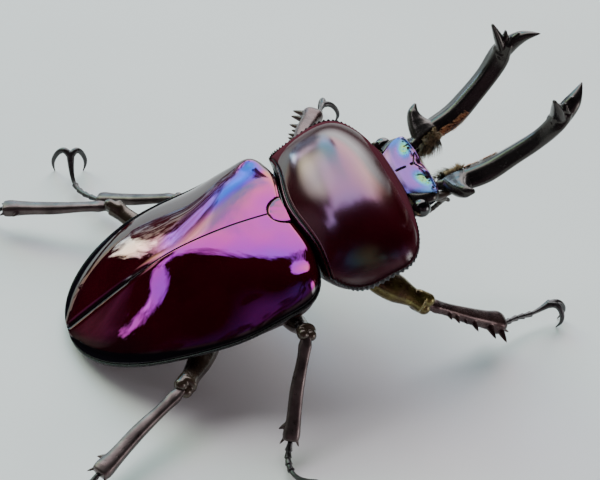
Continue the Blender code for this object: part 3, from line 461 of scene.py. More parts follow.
def sweep(line, radii, flatness=1.0, up=(0, 0, 1), sides=24, domes=(1.0, 1.0), section=None):
    """A closed tube along a line. section gives the radius factor round it, 0 at its side."""
    line, radii = np.asarray(line, float), np.asarray(radii, float)
    tangents = unit(np.gradient(line, axis=0))
    side = unit(np.cross(tangents, np.asarray(up, float)))
    normal = unit(np.cross(side, tangents))
    turns = 2 * np.pi * (np.arange(sides) + 0.5) / sides
    factor = np.ones(sides) if section is None else section(turns)
    rings = []

    def ring(centre, index, radius):
        """One ring of the tube's skin."""
        return (
            centre
            + side[index] * radius * (factor * np.cos(turns))[:, None]
            + normal[index] * radius * flatness * (factor * np.sin(turns))[:, None]
        )

    cap = np.radians([84, 72, 58, 43, 28, 14])
    if domes[0]:
        for angle in cap:
            centre = line[0] - tangents[0] * radii[0] * domes[0] * math.sin(angle)
            rings.append(ring(centre, 0, radii[0] * math.cos(angle)))
    for index in range(len(line)):
        rings.append(ring(line[index], index, radii[index]))
    if domes[1]:
        for angle in cap[::-1]:
            centre = line[-1] + tangents[-1] * radii[-1] * domes[1] * math.sin(angle)
            rings.append(ring(centre, -1, radii[-1] * math.cos(angle)))
    return loft(rings)


def knots_of(path, side):
    """Points, mirrored to a side, and radii of a path in the body frame."""
    points = np.array([point for point, _ in path], float) * (1, side, 1)
    return body(points), np.array([radius for _, radius in path])


def cone(root, direction, length, radius):
    """A pointed spine whose root is sunk into what it grows from."""
    direction = unit(direction)
    share = np.linspace(0.0, 1.0, 8)
    line = root - direction * radius + direction * (length + radius) * share[:, None]
    radii = SPINE_TIP + (radius - SPINE_TIP) * (1.0 - share) ** 0.75
    up = (0, 0, 1) if abs(direction[2]) < 0.8 else (1, 0, 0)
    return sweep(line, radii, up=up, sides=10, domes=(0.0, 1.0))


def hairs(roots, directions, lengths, radius, droop, seed):
    """Points and faces of many fine tapered hairs that bend towards droop.

    Also gives each point's share of its hair's length.
    """
    rng = np.random.RandomState(seed)
    roots, directions = np.asarray(roots, float), unit(directions)
    count = len(roots)
    lengths = np.broadcast_to(lengths, count) * rng.uniform(0.7, 1.15, count)
    across = unit(np.cross(directions, rng.normal(size=(count, 3))))
    other = np.cross(directions, across)
    levels, widths = np.array(HAIR_LEVELS), np.array(HAIR_WIDTHS) * radius
    sides = HAIR_SIDES
    turns = 2 * np.pi * np.arange(sides) / sides
    droop = np.asarray(droop, float)
    points = []
    for level, width in zip(levels, widths):
        centre = roots + directions * (lengths * level)[:, None] + droop * (lengths * level ** 2)[:, None]
        for turn in turns:
            points.append(centre + width * (across * math.cos(turn) + other * math.sin(turn)))
    points = np.stack(points, 1).reshape(-1, 3)
    template = []
    for row in range(len(levels) - 1):
        for k in range(sides):
            after = (k + 1) % sides
            low, high = row * sides, (row + 1) * sides
            template.append((low + k, low + after, high + after, high + k))
    template.append(tuple(range(sides))[::-1])
    template.append(tuple(range((len(levels) - 1) * sides, len(levels) * sides)))
    each = len(levels) * sides
    faces = [[corner + hair * each for corner in face] for hair in range(count) for face in template]
    along = np.tile(np.repeat(np.clip(levels, 0, 1), sides), count)
    return (points, faces), along


def coat(name, roots, places, directions, lengths, radius, droop, seed, material):
    """Hairs as one mesh. places are the roots' places, 0 to 1, on an unwrap of the skin."""
    shape, along = hairs(roots, directions, lengths, radius, droop, seed)
    thing = piece(name, shape, material, values={"along": along})
    layer = thing.data.uv_layers.new(name="OFBake")
    corners = np.empty(len(thing.data.loops), int)
    thing.data.loops.foreach_get("vertex_index", corners)
    levels = len(HAIR_LEVELS)
    each = levels * HAIR_SIDES
    spot = np.stack([corners % HAIR_SIDES / HAIR_SIDES, corners % each // HAIR_SIDES / levels], -1) - 0.5
    flat = np.asarray(places)[corners // each] + spot * TUFT_PATCH
    layer.data.foreach_set("uv", flat.ravel())


# Body shell

def waist(y):
    """How far forward the line between wing cases and pronotum lies at y."""
    reach = np.minimum(np.abs(y) / WAIST_BOW_WIDTH, 1.0)
    return WAIST_BOW * (3.0 * reach ** 2 - 2.0 * reach ** 3)


def bow(y, distance, length):
    """How far forward the waist's bow still carries a point at a distance from the waist."""
    return waist(y) * np.maximum(0.0, 1.0 - distance / length) ** 2


def elytra_half_width(x):
    """Half the width of the two wing cases in plan."""
    back = np.clip((ELYTRA_WIDEST_X - x) / (ELYTRA_WIDEST_X - ELYTRA_TIP_X), 0, 1)
    front = np.clip((x - ELYTRA_WIDEST_X) / (SHOULDER_X - ELYTRA_WIDEST_X), 0, 1)
    rear = (1.0 - back ** REAR_ROUNDING[0]) ** (1.0 / REAR_ROUNDING[1])
    fore = (1.0 - front ** SHOULDER_ROUNDING[0]) ** (1.0 / SHOULDER_ROUNDING[1])
    return ELYTRA_HALF_WIDTH * rear * fore


def pronotum_half_width(x):
    """Half the width of the pronotum in plan."""
    length, power, root = PRONOTUM_REAR_LOBE
    back = np.clip((PRONOTUM_WIDEST_X - x) / length, 0, 1)
    rear = (1.0 - back ** power) ** (1.0 / root)
    length, power, root = PRONOTUM_FRONT_LOBE
    ahead = np.clip((x - PRONOTUM_WIDEST_X) / length, 0, 1)
    fore = (1.0 - ahead ** power) ** (1.0 / root)
    return PRONOTUM_HALF_WIDTH * rear * fore


def elytra_height(x, y):
    """Height of the wing cases over a place in plan, in the body frame."""
    half = elytra_half_width(x + bow(WAIST_BOW_WIDTH, WAIST_X - x, ELYTRA_BOW_LENGTH))
    rim = spline(RIM_HEIGHTS, x)
    crest = np.maximum(spline(CREST_HEIGHTS, x), rim + 0.2)
    margin = np.minimum(spline(MARGIN_WIDTHS, x), half * 0.3)
    reach = np.abs(y) / (half - margin)
    rise = 1.0 - reach ** spline(SECTION_POWER, x)
    rise = 0.5 * (rise + np.sqrt(rise ** 2 + MARGIN_FILLET))
    return rim + (crest - rim) * rise ** spline(SECTION_FULLNESS, x)


def elytron(side):
    """One wing case: a domed shell with a beaded edge, closed below.

    Also gives, for each point, whether it lies on the black edge, and its film and darkness, which is partly
    painted shade.
    """
    rear_x = ELYTRA_TIP_X + 0.06
    x = ELYTRA_FRONT_X + (rear_x - ELYTRA_FRONT_X) * spread(240)
    distance = (WAIST_X - x)[:, None]
    half = elytra_half_width(x + bow(WAIST_BOW_WIDTH, WAIST_X - x, ELYTRA_BOW_LENGTH))[:, None]
    scale = np.minimum(1.0, half / FULL_HALF_WIDTH)
    edge = half - RIM_WIDTH * scale
    outer_share = 0.2 + 0.8 * np.sin(np.pi / 2 * np.linspace(0, 1, 92)[1:])
    share = np.concatenate([np.linspace(0, 0.2, 46), outer_share])
    y = SUTURE + (edge - SUTURE) * share[None]
    grid_x = repeated(x, y)
    z = elytra_height(grid_x, y)
    # The shoulder's hump
    hump = bell(grid_x - HUMP_CENTRE[0], HUMP_SIZE[0]) * bell(y - HUMP_CENTRE[1], HUMP_SIZE[1])
    z += HUMP_HEIGHT * hump
    # The inner edge rolls down into the suture, and behind the middle it slopes
    rear = eased(-grid_x, 10.5, 18.0)
    z += (relief(y, SUTURE_ROLL) + rear * relief(y, SUTURE_SLOPE)) * scale
    # The bed of the scutellum
    forward = grid_x + bow(y, distance, ELYTRA_BOW_LENGTH)
    radius = np.hypot(forward - SCUTELLUM_X, y)
    z += SCUTELLUM_BED * eased(-radius, -SCUTELLUM_RADIUS - 0.06, -SCUTELLUM_RADIUS + 0.06)
    # The front edge rolls down towards the pronotum, and the raised edge has knobs in front
    edge_z = z[:, -1:].copy()
    z += relief(distance, *ELYTRA_FRONT_RELIEF)
    knobs = (RIM_KNOB * np.sin(2 * np.pi * x / RIM_KNOB_SPACING) ** 2 * eased(x, -9.0, -5.0))[:, None]
    for out, rise in RIM_BEAD:
        y = np.concatenate([y, half + out * scale - knobs], 1)
        z = np.concatenate([z, edge_z + (rise - 0.1) * scale], 1)
    low = edge_z - SHELL_THICKNESS * scale
    for inward in (0.9, 0.5, 0.0):
        y = np.concatenate([y, SUTURE + (half - SUTURE) * inward], 1)
        z = np.concatenate([z, low], 1)
    grid_x = repeated(x, y)
    points = np.stack([grid_x + bow(y, distance, ELYTRA_BOW_LENGTH), side * y, z], -1)
    out = (half - y) / scale
    black = (out < 0.4) | (distance < 0.2)
    width = np.minimum(spline(MARGIN_WIDTHS, x)[:, None], half * 0.3)
    film = ELYTRA_FILM + added(grid_x, *FRONT_FILM) + added(y, *EDGE_FILM)
    # The left wing case has a thicker film in a band from the shoulder to the suture
    if side > 0:
        slant = y - SHOULDER_BAND_Y - SHOULDER_BAND_LEAN * grid_x
        along = eased(grid_x, -13.5, -10.5) * (0.6 + 0.4 * eased(grid_x, -8.0, -2.0))
        film = film + SHOULDER_FILM * eased(slant, -2.7, -0.8) * eased(-slant, -2.2, -0.4) * along
    radius = np.hypot(points[..., 0] - SCUTELLUM_X, y)
    # Dark along the edge and the suture's seam, the shell's own black, and towards the tip near the edge;
    # painted shade in the step round the scutellum and along the rear of the suture
    dark = np.maximum.reduce([
        eased(width + 1.0 - out, 0.0, 0.7),
        # Painted shade in the step round the scutellum
        bell(radius - SCUTELLUM_RADIUS, 0.09),
        # Painted shade in the band along the rear of the suture, where the shell slopes into the seam
        eased(-grid_x, 12.0, 18.0) * bell(y, 0.45, 4) * 0.95,
        eased(-grid_x, 14.0, 20.0) * eased(5.0 - out, 0.0, 3.0) * 0.55,
        bell(y - SUTURE, 0.04),
    ])
    return loft(body(points)), black.ravel(), {"film": film.ravel(), "dark": dark.ravel()}


def scutellum():
    """The half-round plate between the wing cases."""
    radius = SCUTELLUM_RADIUS - 0.07
    turns = np.pi * (0.5 + np.arange(49) / 48)
    rings = []
    for share, drop in SCUTELLUM_RINGS:
        x = SCUTELLUM_X + radius * share * np.cos(turns)
        y = radius * share * np.sin(turns)
        z = 0.02 + 0.06 * (x - WAIST_X) / radius - drop + 0.008 * np.sin(5.0 * y + 3.0 * x)
        rings.append(np.stack([x, y, z], -1))
    return loft(body(rings))


def pronotum():
    """The shield over the forebody, with a beaded edge all round, given as a wing case is."""
    x = PRONOTUM_REAR_X + (PRONOTUM_FRONT_X - PRONOTUM_REAR_X) * spread(170)
    distance = x - PRONOTUM_REAR_X
    half = pronotum_half_width(x + bow(WAIST_BOW_WIDTH, distance, PRONOTUM_BOW_LENGTH))
    margin, crest = spline(PRONOTUM_MARGIN, x), spline(PRONOTUM_CREST, x)
    wide = half / PRONOTUM_HALF_WIDTH
    dome = half - 0.55 * wide
    across = np.sin(np.pi / 2 * np.linspace(-1, 1, 181))
    y = across[None] * (half - 0.02)[:, None]
    reach = 1.0 - (np.abs(y) / dome[:, None]) ** PRONOTUM_POWER
    full = (0.5 * (reach + np.sqrt(reach ** 2 + 0.004))) ** PRONOTUM_FULLNESS
    z = margin[:, None] + (crest - margin)[:, None] * full
    out = half[:, None] - np.abs(y)
    # Side bead with its row of knobs, and the groove inside it
    steps = np.hypot(np.gradient(x), np.gradient(half))
    knobs = 0.5 + 0.5 * np.cos(2 * np.pi * np.cumsum(steps)[:, None] / KNOB_SPACING)
    swelling = KNOB_HEIGHT * knobs - 0.15
    raised = (SIDE_BEAD[0] + KNOB_HEIGHT * knobs, *SIDE_BEAD[1:])
    z += wide[:, None] * relief(out, raised, SIDE_GROOVE)
    y = y + np.sign(y) * swelling * bell(out, 0.14)
    # Rear and front beads with their grooves
    rear, fore = distance[:, None], (PRONOTUM_FRONT_X - x)[:, None]
    z += relief(rear, *REAR_RELIEF) + relief(fore, *FRONT_RELIEF)
    # Black on the side bead and along the rear edge; the black in the groove inside the rear bead is painted
    # shade
    black = (out < 0.34) | (np.abs(rear - 0.4) < 0.17) | (rear < 0.03)
    patch_x, patch_size = PRONOTUM_RIGHT_PATCH
    film = PRONOTUM_FILM + added(y, *PRONOTUM_LEFT_FILM)
    film += added(-y, *PRONOTUM_RIGHT_FILM) * bell(repeated(x, y) - patch_x, patch_size)
    # The dull margin is wider on the left
    dark = np.maximum(eased(3.3 + 1.3 * np.tanh(y / 4.0) - out, 0.0, 2.0), eased(-fore, -2.3, -0.8))
    below = (len(x), len(UNDER_SHARES))
    black = np.concatenate([black, np.ones(below, bool)], 1)
    film = np.concatenate([film, np.full(below, PRONOTUM_FILM)], 1)
    dark = np.concatenate([dark, np.ones(below)], 1)
    y = np.concatenate([y, half[:, None] * UNDER_SHARES + swelling * UNDER_PUSH], 1)
    z = np.concatenate([z, margin[:, None] - wide[:, None] * UNDER_DROPS], 1)
    grid_x = repeated(x, y) + bow(y, distance[:, None], PRONOTUM_BOW_LENGTH)
    shape = loft(body(np.stack([grid_x, y, z], -1)))
    return shape, black.ravel(), {"film": film.ravel(), "dark": dark.ravel()}


def keel(from_x, to_x, stations, half_width, top, bottom, steps=()):
    """A part of the underside: flat on top, rounded below, with plates that step up at steps."""
    x = from_x + (to_x - from_x) * np.linspace(0, 1, stations)
    width, ceiling, floor = half_width(x), top(x), bottom(x)
    for place in steps:
        before, behind = np.clip(x - place, 0, None), np.clip(place - x, 0, None)
        floor = floor + STEP_HEIGHT * bell(before, 0.12) * (before <= 0.6) * bell(behind, 1.6, 1)
    turns = np.linspace(0, np.pi, 60)
    wall = ceiling - 0.12 * (ceiling - floor)
    y = width[:, None] * np.cos(turns)[None]
    z = wall[:, None] + (floor - wall)[:, None] * np.sin(turns)[None]
    shares = np.array([-1.0, -0.5, 0.0, 0.5, 1.0])
    y = np.concatenate([y, width[:, None] * shares[None]], 1)
    z = np.concatenate([z, np.repeat(ceiling[:, None], 5, 1)], 1)
    return loft(body(np.stack([repeated(x, y), y, z], -1)))


def hind_half_width(x):
    """Half the width of the hind body under the wing cases."""
    return np.maximum(elytra_half_width(x) - 1.5, 1.5)


def under_elytra(x):
    """Height of the hind body's flat top."""
    return spline(RIM_HEIGHTS, x) - 0.75


# Head

def head():
    """The head: a flat plate with hollows, folds and lobes over a rounded block.

    Also gives each point's film and darkness, which is painted shade in the grooves and pits and on the side
    and under wall.
    """
    x = HEAD_REAR_X + (HEAD_FRONT_X - HEAD_REAR_X) * np.linspace(0, 1, 180)
    half, top, bottom = spline(HEAD_HALF_WIDTH, x), spline(HEAD_TOP, x), spline(HEAD_BOTTOM, x)
    across = np.sin(np.pi / 2 * np.linspace(-1, 1, 241))
    y = across[None] * half[:, None]
    grid_x = repeated(x, y)
    side = np.abs(y)

    def spot(at_x, at_y, size_x, size_y, lean=0.0):
        """A rounded bump on each side of the middle, 1 at its centre."""
        over = side - at_y
        return bell(grid_x - at_x - lean * over, size_x) * bell(over, size_y)

    z = top[:, None] - 0.22 * (side / half[:, None]) ** 4
    hollow = spot(*HEAD_HOLLOW)
    z -= 0.2 * hollow
    for height, *place in HEAD_BUMPS:
        z += height * spot(*place)
    # The short line behind the middle
    line_x, line_length = HEAD_REAR_LINE
    line = bell(y + 0.05 * (grid_x - 16.9), 0.1) * bell(grid_x - line_x, line_length, 8)
    z -= 0.24 * line
    # The fork of grooves behind the middle of the front edge
    fork = bell(grid_x - HEAD_FORK_X - 0.5 * side, 0.08) * eased(-side, -1.4, -1.1)
    fork = np.maximum(fork, bell(y, 0.13) * bell(grid_x - 18.35, 0.3, 4))
    z -= 0.2 * fork
    z -= 0.22 * bell(side, 0.42) * eased(grid_x, 18.75, 19.1)
    # A lobe on each side of the fork, cut off from the plate by a groove
    lobe = spot(*HEAD_LOBE)
    z += 0.2 * lobe
    cut_x, cut_width = HEAD_LOBE_GROOVE
    cut = bell(grid_x - cut_x - 0.12 * (side - 1.7), cut_width)
    z -= 0.16 * cut * eased(side, 0.9, 1.1) * eased(-side, -3.0, -2.6)
    # The rim along the front edge with a groove and pits behind it
    forward = grid_x + 0.035 * (side - 2) ** 2
    inside = eased(-side, -4.5, -4.2)
    groove = bell(forward - HEAD_RIM_GROOVE_X, 0.08) * inside
    z += relief(forward, HEAD_RIM) * inside - 0.18 * groove * (1.0 - 0.7 * lobe)
    for height, *place in HEAD_PITS:
        z += height * spot(*place)
    wrinkle = np.sin(grid_x * 9.0 + 2.0 * np.sin(y * 3.1)) * np.sin(y * 7.0 + 1.7 * np.sin(grid_x * 5.0))
    z += 0.012 * wrinkle * np.clip(hollow * 2.0, 0, 1)
    film = HEAD_FILM + 94.0 * eased(hollow, -0.05, 0.85) + 30.0 * eased(side, 3.2, 4.7)
    # Painted shade: the short line, the fork, the groove and two of the pits are darkened and lose their
    # gloss
    pit_painted_shade = 0.9 * (spot(*HEAD_PITS[0][1:]) + spot(*HEAD_PITS[2][1:]))
    dark = np.maximum.reduce([line, fork * 0.6, groove * 0.3, pit_painted_shade])
    wall_turns = np.linspace(0, np.pi, 46)[1:-1]
    wall_y = half[:, None] * np.cos(wall_turns)[None]
    low = z[:, -1:] - 0.3
    wall_z = low + (bottom[:, None] - low) * np.sin(wall_turns)[None] ** 0.8
    y, z = np.concatenate([y, wall_y], 1), np.concatenate([z, wall_z], 1)
    film = np.concatenate([film, np.full(wall_y.shape, HEAD_SIDE_FILM)], 1)
    # Painted shade: the side and under wall is dark all over, without its film
    dark = np.concatenate([dark, np.ones(wall_y.shape)], 1)
    shape = loft(body(np.stack([repeated(x, y), y, z], -1)))
    return shape, {"film": film.ravel(), "dark": dark.ravel()}


def blade(inner, outer, thickness):
    """A flat closed form between two edges, each a list of points, with its thickness along it."""
    count = 40
    inner, _ = through(inner, np.ones(len(inner)), count)
    outer, _ = through(outer, np.ones(len(outer)), count)
    centre, across = (inner + outer) / 2, (outer - inner) / 2
    normal = unit(np.cross(np.gradient(centre, axis=0), across))
    turns = (2 * np.pi * np.arange(24) / 24)[None, :, None]
    half = np.interp(np.linspace(0, 1, count), np.linspace(0, 1, len(thickness)), thickness) / 2
    thick = normal * half[:, None]
    return loft(centre[:, None] + across[:, None] * np.cos(turns) + thick[:, None] * np.sin(turns))


def mirrored(points, side):
    """Body frame points of the left side moved to a side, where they stand in the model."""
    return body(np.array(points, float) * (1, side, 1))


def canthus(side):
    """The sloping plate that runs from the head's edge over the front of an eye."""
    return blade(mirrored(CANTHUS_INNER, side), mirrored(CANTHUS_OUTER, side), (0.1, 0.45, 0.5, 0.45, 0.1))


def cheek(side):
    """The wedge between the head's side and the root of a jaw."""
    return sweep(*through(*knots_of(CHEEK_PATH, side), 30), 0.8, sides=20, domes=(0.8, 0.6))


def eye(side):
    """A round eye."""
    around = 2 * np.pi * np.arange(64) / 64
    rings = []
    for turn in np.linspace(0, np.pi, 40)[1:-1]:
        circle = math.sin(turn) * np.cos(around), math.sin(turn) * np.sin(around), np.full(64, math.cos(turn))
        rings.append(mirrored(EYE_CENTRE, side) + np.stack(circle, -1) * EYE_RADIUS)
    return loft(rings)


def ridged(turns):
    """A section with long ridges and flats between them."""
    return 1.0 + 0.08 * np.cos(4 * turns) + 0.02 * np.cos(2 * turns)


def mandible(side):
    """One jaw: a ridged shaft with a hook at its base and a fork at its end, in one skin."""
    line, radii = through(*knots_of(MANDIBLE_SHAFT, side), 90)
    shapes = [sweep(line, radii, MANDIBLE_FLATNESS, sides=40, domes=(0.6, 0.5), section=ridged)]
    for path, flatness in MANDIBLE_BRANCHES:
        line, radii = through(*knots_of(path, side), 40)
        shapes.append(sweep(line, radii, flatness, sides=28, domes=(0.6, 0.8)))
    shapes.append(blade(mirrored(HOOK_INNER, side), mirrored(HOOK_OUTER, side), HOOK_THICKNESS))
    return merge(shapes)


def jaw_coat(name, side, count, clumps, reach_x, angles, length, radius, droop, seed, material):
    """Clumped hairs on the inner face of a jaw, between two places along it and two angles round it.

    count hairs grow in so many clumps. Angles are in degrees, 0 inward and 90 upward.
    """
    (from_x, to_x), (low, high) = reach_x, angles
    rng = np.random.RandomState(seed)
    line, radii = through(*knots_of(MANDIBLE_SHAFT, side), 200)
    xs = through([point for point, _ in MANDIBLE_SHAFT], np.ones(len(MANDIBLE_SHAFT)), 200)[0][:, 0]
    clump = rng.randint(clumps, size=count)
    share = (rng.uniform(size=clumps)[clump] + rng.normal(size=count) * 0.05).clip(0, 1)
    index = np.searchsorted(xs, from_x + (to_x - from_x) * share).clip(1, 198)
    turn = (rng.uniform(size=clumps)[clump] + rng.normal(size=count) * 0.06).clip(0, 1)
    angle = np.radians(low + (high - low) * turn)
    tangents = unit(line[index + 1] - line[index - 1])
    inner = unit(np.cross(tangents, (0, 0, 1))) * side
    above = unit(np.cross(inner, tangents)) * side
    normal = inner * np.cos(angle)[:, None] + above * np.sin(angle)[:, None]
    reach = np.stack([np.cos(angle), np.sin(angle) * MANDIBLE_FLATNESS], -1)
    roots = line[index] + (inner * reach[:, :1] + above * reach[:, 1:]) * radii[index][:, None]
    places = np.stack([index / 200, angle / (2 * np.pi) + 0.5], -1)
    directions = normal + rng.normal(size=(clumps, 3))[clump] * 0.3 + rng.normal(size=(count, 3)) * 0.08
    lengths = length * rng.uniform(0.55, 1.15, clumps)[clump]
    droop = np.array(droop) * (1, side, 1)
    coat(name, roots, places, directions, lengths, radius, droop, seed, material)


def neck_fringe():
    """Golden hairs under the front edge of the pronotum."""
    rng = np.random.RandomState(8)
    count = 1400
    across = rng.uniform(-1, 1, count)
    y = 6.4 * across
    x = PRONOTUM_FRONT_X - 0.12 - 0.05 * rng.uniform(size=count)
    z = -0.55 - 0.006 * y ** 2 + rng.normal(size=count) * 0.05
    directions = np.stack([np.full(count, 1.0), 0.2 * across, np.full(count, 0.15)], -1)
    directions = directions + rng.normal(size=(count, 3)) * 0.2
    roots = body(np.stack([x, y, z], -1))
    directions = body(directions) - body((0, 0, 0))
    places = np.stack([0.5 + 0.45 * across, np.full(count, 0.5)], -1)
    coat("neck_fringe", roots, places, directions, 0.6, 0.022, (0.0, 0.0, -0.3), 9, GOLD)


def feeler(side):
    """One elbowed feeler: long first joint, small joints, and a club of three leaves."""
    shapes = [sweep(*through(*knots_of(SCAPE_PATH, side), 24), sides=14)]
    line, radii = through(*knots_of(FUNICLE_PATH, side), 61)
    beads = radii * (0.86 + 0.3 * np.abs(np.sin(np.pi * np.linspace(0, 6, 61))) ** 0.6)
    shapes.append(sweep(line, beads, sides=14))
    end = np.array(FUNICLE_PATH[-1][0])
    reach = unit((-0.35, -0.9, -0.5)) * 1.7
    for leaf in range(3):
        root = end + np.array((-0.45, -0.1, 0.0)) * leaf
        path = ((root + (0.2, 0.3, 0.05), 0.26), (root + reach / 2, 0.5), (root + reach, 0.34))
        shapes.append(sweep(*through(*knots_of(path, side), 20), 0.5, (1, 0, 0), 18))
    return merge(shapes)


def palp(side):
    """The larger of the two mouth feelers of a side."""
    return sweep(*through(*knots_of(PALP_PATH, side), 30), sides=14)


# Legs

def leg_frame(leg):
    """Knee, end, direction, outward direction and widths of a lower leg."""
    knee, apex = ground(LEGS[leg]["knee"]), ground(LEGS[leg]["apex"])
    along = unit(apex - knee)
    side = 1 if leg.endswith("left") else -1
    outer = unit((-(apex - knee)[1] * side, (apex - knee)[0] * side, 0.0))
    return knee, apex, along, outer, LEG_WIDTHS[leg.split("_")[0]]


def femur(leg):
    """The upper leg with its hip."""
    knee, _, along, _, widths = leg_frame(leg)
    coxa = body(LEGS[leg]["coxa"])
    outward = unit((knee[0] - coxa[0], knee[1] - coxa[1], 0.0))
    hip = coxa + outward * 1.5 - (0, 0, 1.0)
    points, radii = [coxa], [widths["coxa"]]
    for share, key, factor in FEMUR_SHAPE:
        points.append(hip + (knee - hip) * share)
        radii.append(widths[key] * factor)
    line, radii = through(points, radii, 80)
    shapes = [sweep(line, radii, 0.85, sides=36, domes=(0.8, 0.3))]
    # Two lobes that hold the lower leg between them
    across = unit(np.cross(along, knee - hip))
    for turn in (-1, 1):
        lobe = knee + across * widths["knee"] * 0.42 * turn
        path = (lobe - unit(knee - hip) * widths["knee"] * 0.7, lobe + along * 0.3)
        shapes.append(sweep(*through(path, (widths["knee"] * 0.6, widths["knee"] * 0.62), 8), sides=24))
    return merge(shapes)


def squared(turns):
    """A section with four soft corners."""
    return 1.0 + 0.05 * np.cos(4 * turns + np.pi)


def tibia(leg):
    """The lower leg with its teeth and spurs."""
    knee, apex, along, outer, widths = leg_frame(leg)
    start = knee + along * (widths["knee"] + GAP * 0.3)
    low, high = widths["tibia"]
    points = [start + (apex - start) * share + outer * bend for share, _, bend, _ in TIBIA_SHAPE]
    radii = [(low + (high - low) * blend) * factor for _, blend, _, factor in TIBIA_SHAPE]
    line, radii = through(points, radii, 80)
    up = unit(np.cross(outer, along))
    shapes = [sweep(line, radii, 0.8, up, 32, (0.4, 0.3), squared)]
    front = leg.startswith("front")
    teeth, lean = (FRONT_TEETH, FRONT_TOOTH_LEAN) if front else (REAR_TEETH, REAR_TOOTH_LEAN)

    def direction(parts):
        """Outward, forward and upward parts as one direction."""
        return outer * parts[0] + along * parts[1] + np.array((0, 0, parts[2]))

    for place, size in teeth:
        root = start + (apex - start) * place + outer * (low + (high - low) * place) * 0.75
        shapes.append(cone(root, direction(lean), size, 0.26 + 0.2 * size))
    for across, parts, length, radius in FRONT_SPURS if front else REAR_SPURS:
        root = apex + outer * high * across - along * 0.2
        shapes.append(cone(root, direction(parts), length, radius))
    return merge(shapes)


def tarsus(leg):
    """The foot: four short joints, a long one and two claws."""
    _, apex, along, _, widths = leg_frame(leg)
    route = [apex + along * (widths["tibia"][1] * 0.3 + GAP * 0.5)]
    route += [ground(point) for point in LEGS[leg]["tarsus"]]
    line, _ = through(route, np.ones(len(route)), 241)
    lengths = np.linalg.norm(np.diff(np.array(route), axis=0), axis=1)
    short_end = int(240 * lengths[:2].sum() / lengths.sum())
    shapes = []
    for joint in range(SHORT_JOINTS):
        first, last = short_end * joint // SHORT_JOINTS, short_end * (joint + 1) // SHORT_JOINTS
        part = line[first:last + 4]
        share = np.linspace(0, 1, len(part))
        radii = 0.3 + 0.16 * share ** 1.4 - 0.13 * np.clip(share - 0.86, 0, 1) / 0.14
        shapes.append(sweep(part, radii, 0.9, sides=18, domes=(0.8, 0.5)))
    part = line[short_end - 2:]
    share = np.linspace(0, 1, len(part))
    shapes.append(sweep(part, 0.26 + 0.3 * share ** 2, 0.9, sides=18, domes=(0.8, 0.9)))
    end = line[-1]
    forward = unit(line[-1] - line[-10])
    for tip_mm in LEGS[leg]["claws"]:
        tip = ground(tip_mm)
        arch = np.array(((tip[0] - end[0]) / 2, (tip[1] - end[1]) / 2, 0.0)) + forward * 0.3
        fall = np.array((0, 0, end[2] - tip[2]))
        points = (end - forward * 0.3, end + arch * 0.7 + (0, 0, 0.1), tip + arch * 0.22 + fall * 0.52, tip)
        claw_line, claw_radii = through(points, (0.5, 0.42, 0.28, 0.06), 30)
        up = (forward[1], -forward[0], 0)
        shapes.append(sweep(claw_line, claw_radii, sides=14, domes=(0.6, 0.0), up=up))
    points, faces = merge(shapes)
    points[:, 2] = np.maximum(points[:, 2], CLEARANCE)
    return points, faces


# Materials

# How far the film's thickness drifts to either side, in nanometres
FILM_DRIFT = 6.0
# How dull a shell is where its film ends
FILM_END = 0.7
# The stretch of facing values over which the last gloss is lost
GRAZING_WIDTH = 0.14


def shader(name, **values):
    """A material with its Principled shader's sockets set by name."""
    material = bpy.data.materials.new(name)
    material.use_nodes = True
    tree = material.node_tree
    principled = tree.nodes["Principled BSDF"]
    for key, value in values.items():
        principled.inputs[key.replace("_", " ")].default_value = value
    return material, tree, principled


def add(tree, kind, **values):
    """A shader node with its sockets set by name."""
    node = tree.nodes.new(kind)
    for key, value in values.items():
        if key in node.inputs:
            node.inputs[key].default_value = value
        else:
            setattr(node, key, value)
    return node


def feed(tree, socket, value):
    """Gives a node's socket a link or a plain value."""
    if isinstance(value, bpy.types.NodeSocket):
        tree.links.new(value, socket)
    elif socket.type == "RGBA":
        socket.default_value = (*value, 1.0)
    else:
        socket.default_value = value


def combined(tree, operation, *values, kind="ShaderNodeMath", output=0, **settings):
    """The outcome of a math node that is fed with sockets or plain values."""
    node = add(tree, kind, operation=operation, **settings)
    for socket, value in zip(node.inputs, values):
        feed(tree, socket, value)
    return node.outputs[output]


def blended(tree, kind, factor, before, colour):
    """A colour mixed with the one before it, or multiplied into it, as far as a factor says."""
    node = add(tree, "ShaderNodeMix", data_type="RGBA", blend_type=kind)
    for place, value in ((0, factor), (6, before), (7, colour)):
        feed(tree, node.inputs[place], value)
    return node.outputs[2]


def ramp(tree, source, stops):
    """A colour ramp fed by a value."""
    node = tree.nodes.new("ShaderNodeValToRGB")
    while len(node.color_ramp.elements) < len(stops):
        node.color_ramp.elements.new(0.5)
    for element, (place, colour) in zip(node.color_ramp.elements, stops):
        element.position = place
        element.color = (*colour, 1.0)
    tree.links.new(source, node.inputs[0])
    return node.outputs[0]


def mottle(tree, principled, cloud, dark, light, stops=(0.3, 0.7)):
    """Gives a shader a colour that drifts between two as a noise does."""
    colour = ramp(tree, cloud, tuple(zip(stops, (dark, light))))
    tree.links.new(colour, principled.inputs["Base Color"])


def grain(tree, scale, detail=3.0, rough=0.55):
    """Noise in the object's own space. scale is in cells a millimetre."""
    place = tree.nodes.new("ShaderNodeTexCoord")
    noise = add(tree, "ShaderNodeTexNoise", Scale=scale * 1000, Detail=detail, Roughness=rough)
    tree.links.new(place.outputs["Object"], noise.inputs["Vector"])
    return noise.outputs["Fac"]


def pits(tree, scale):
    """Distance to the nearest of many scattered points. scale is in cells a millimetre."""
    place = tree.nodes.new("ShaderNodeTexCoord")
    cells = add(tree, "ShaderNodeTexVoronoi", Scale=scale * 1000)
    tree.links.new(place.outputs["Object"], cells.inputs["Vector"])
    return cells.outputs["Distance"]


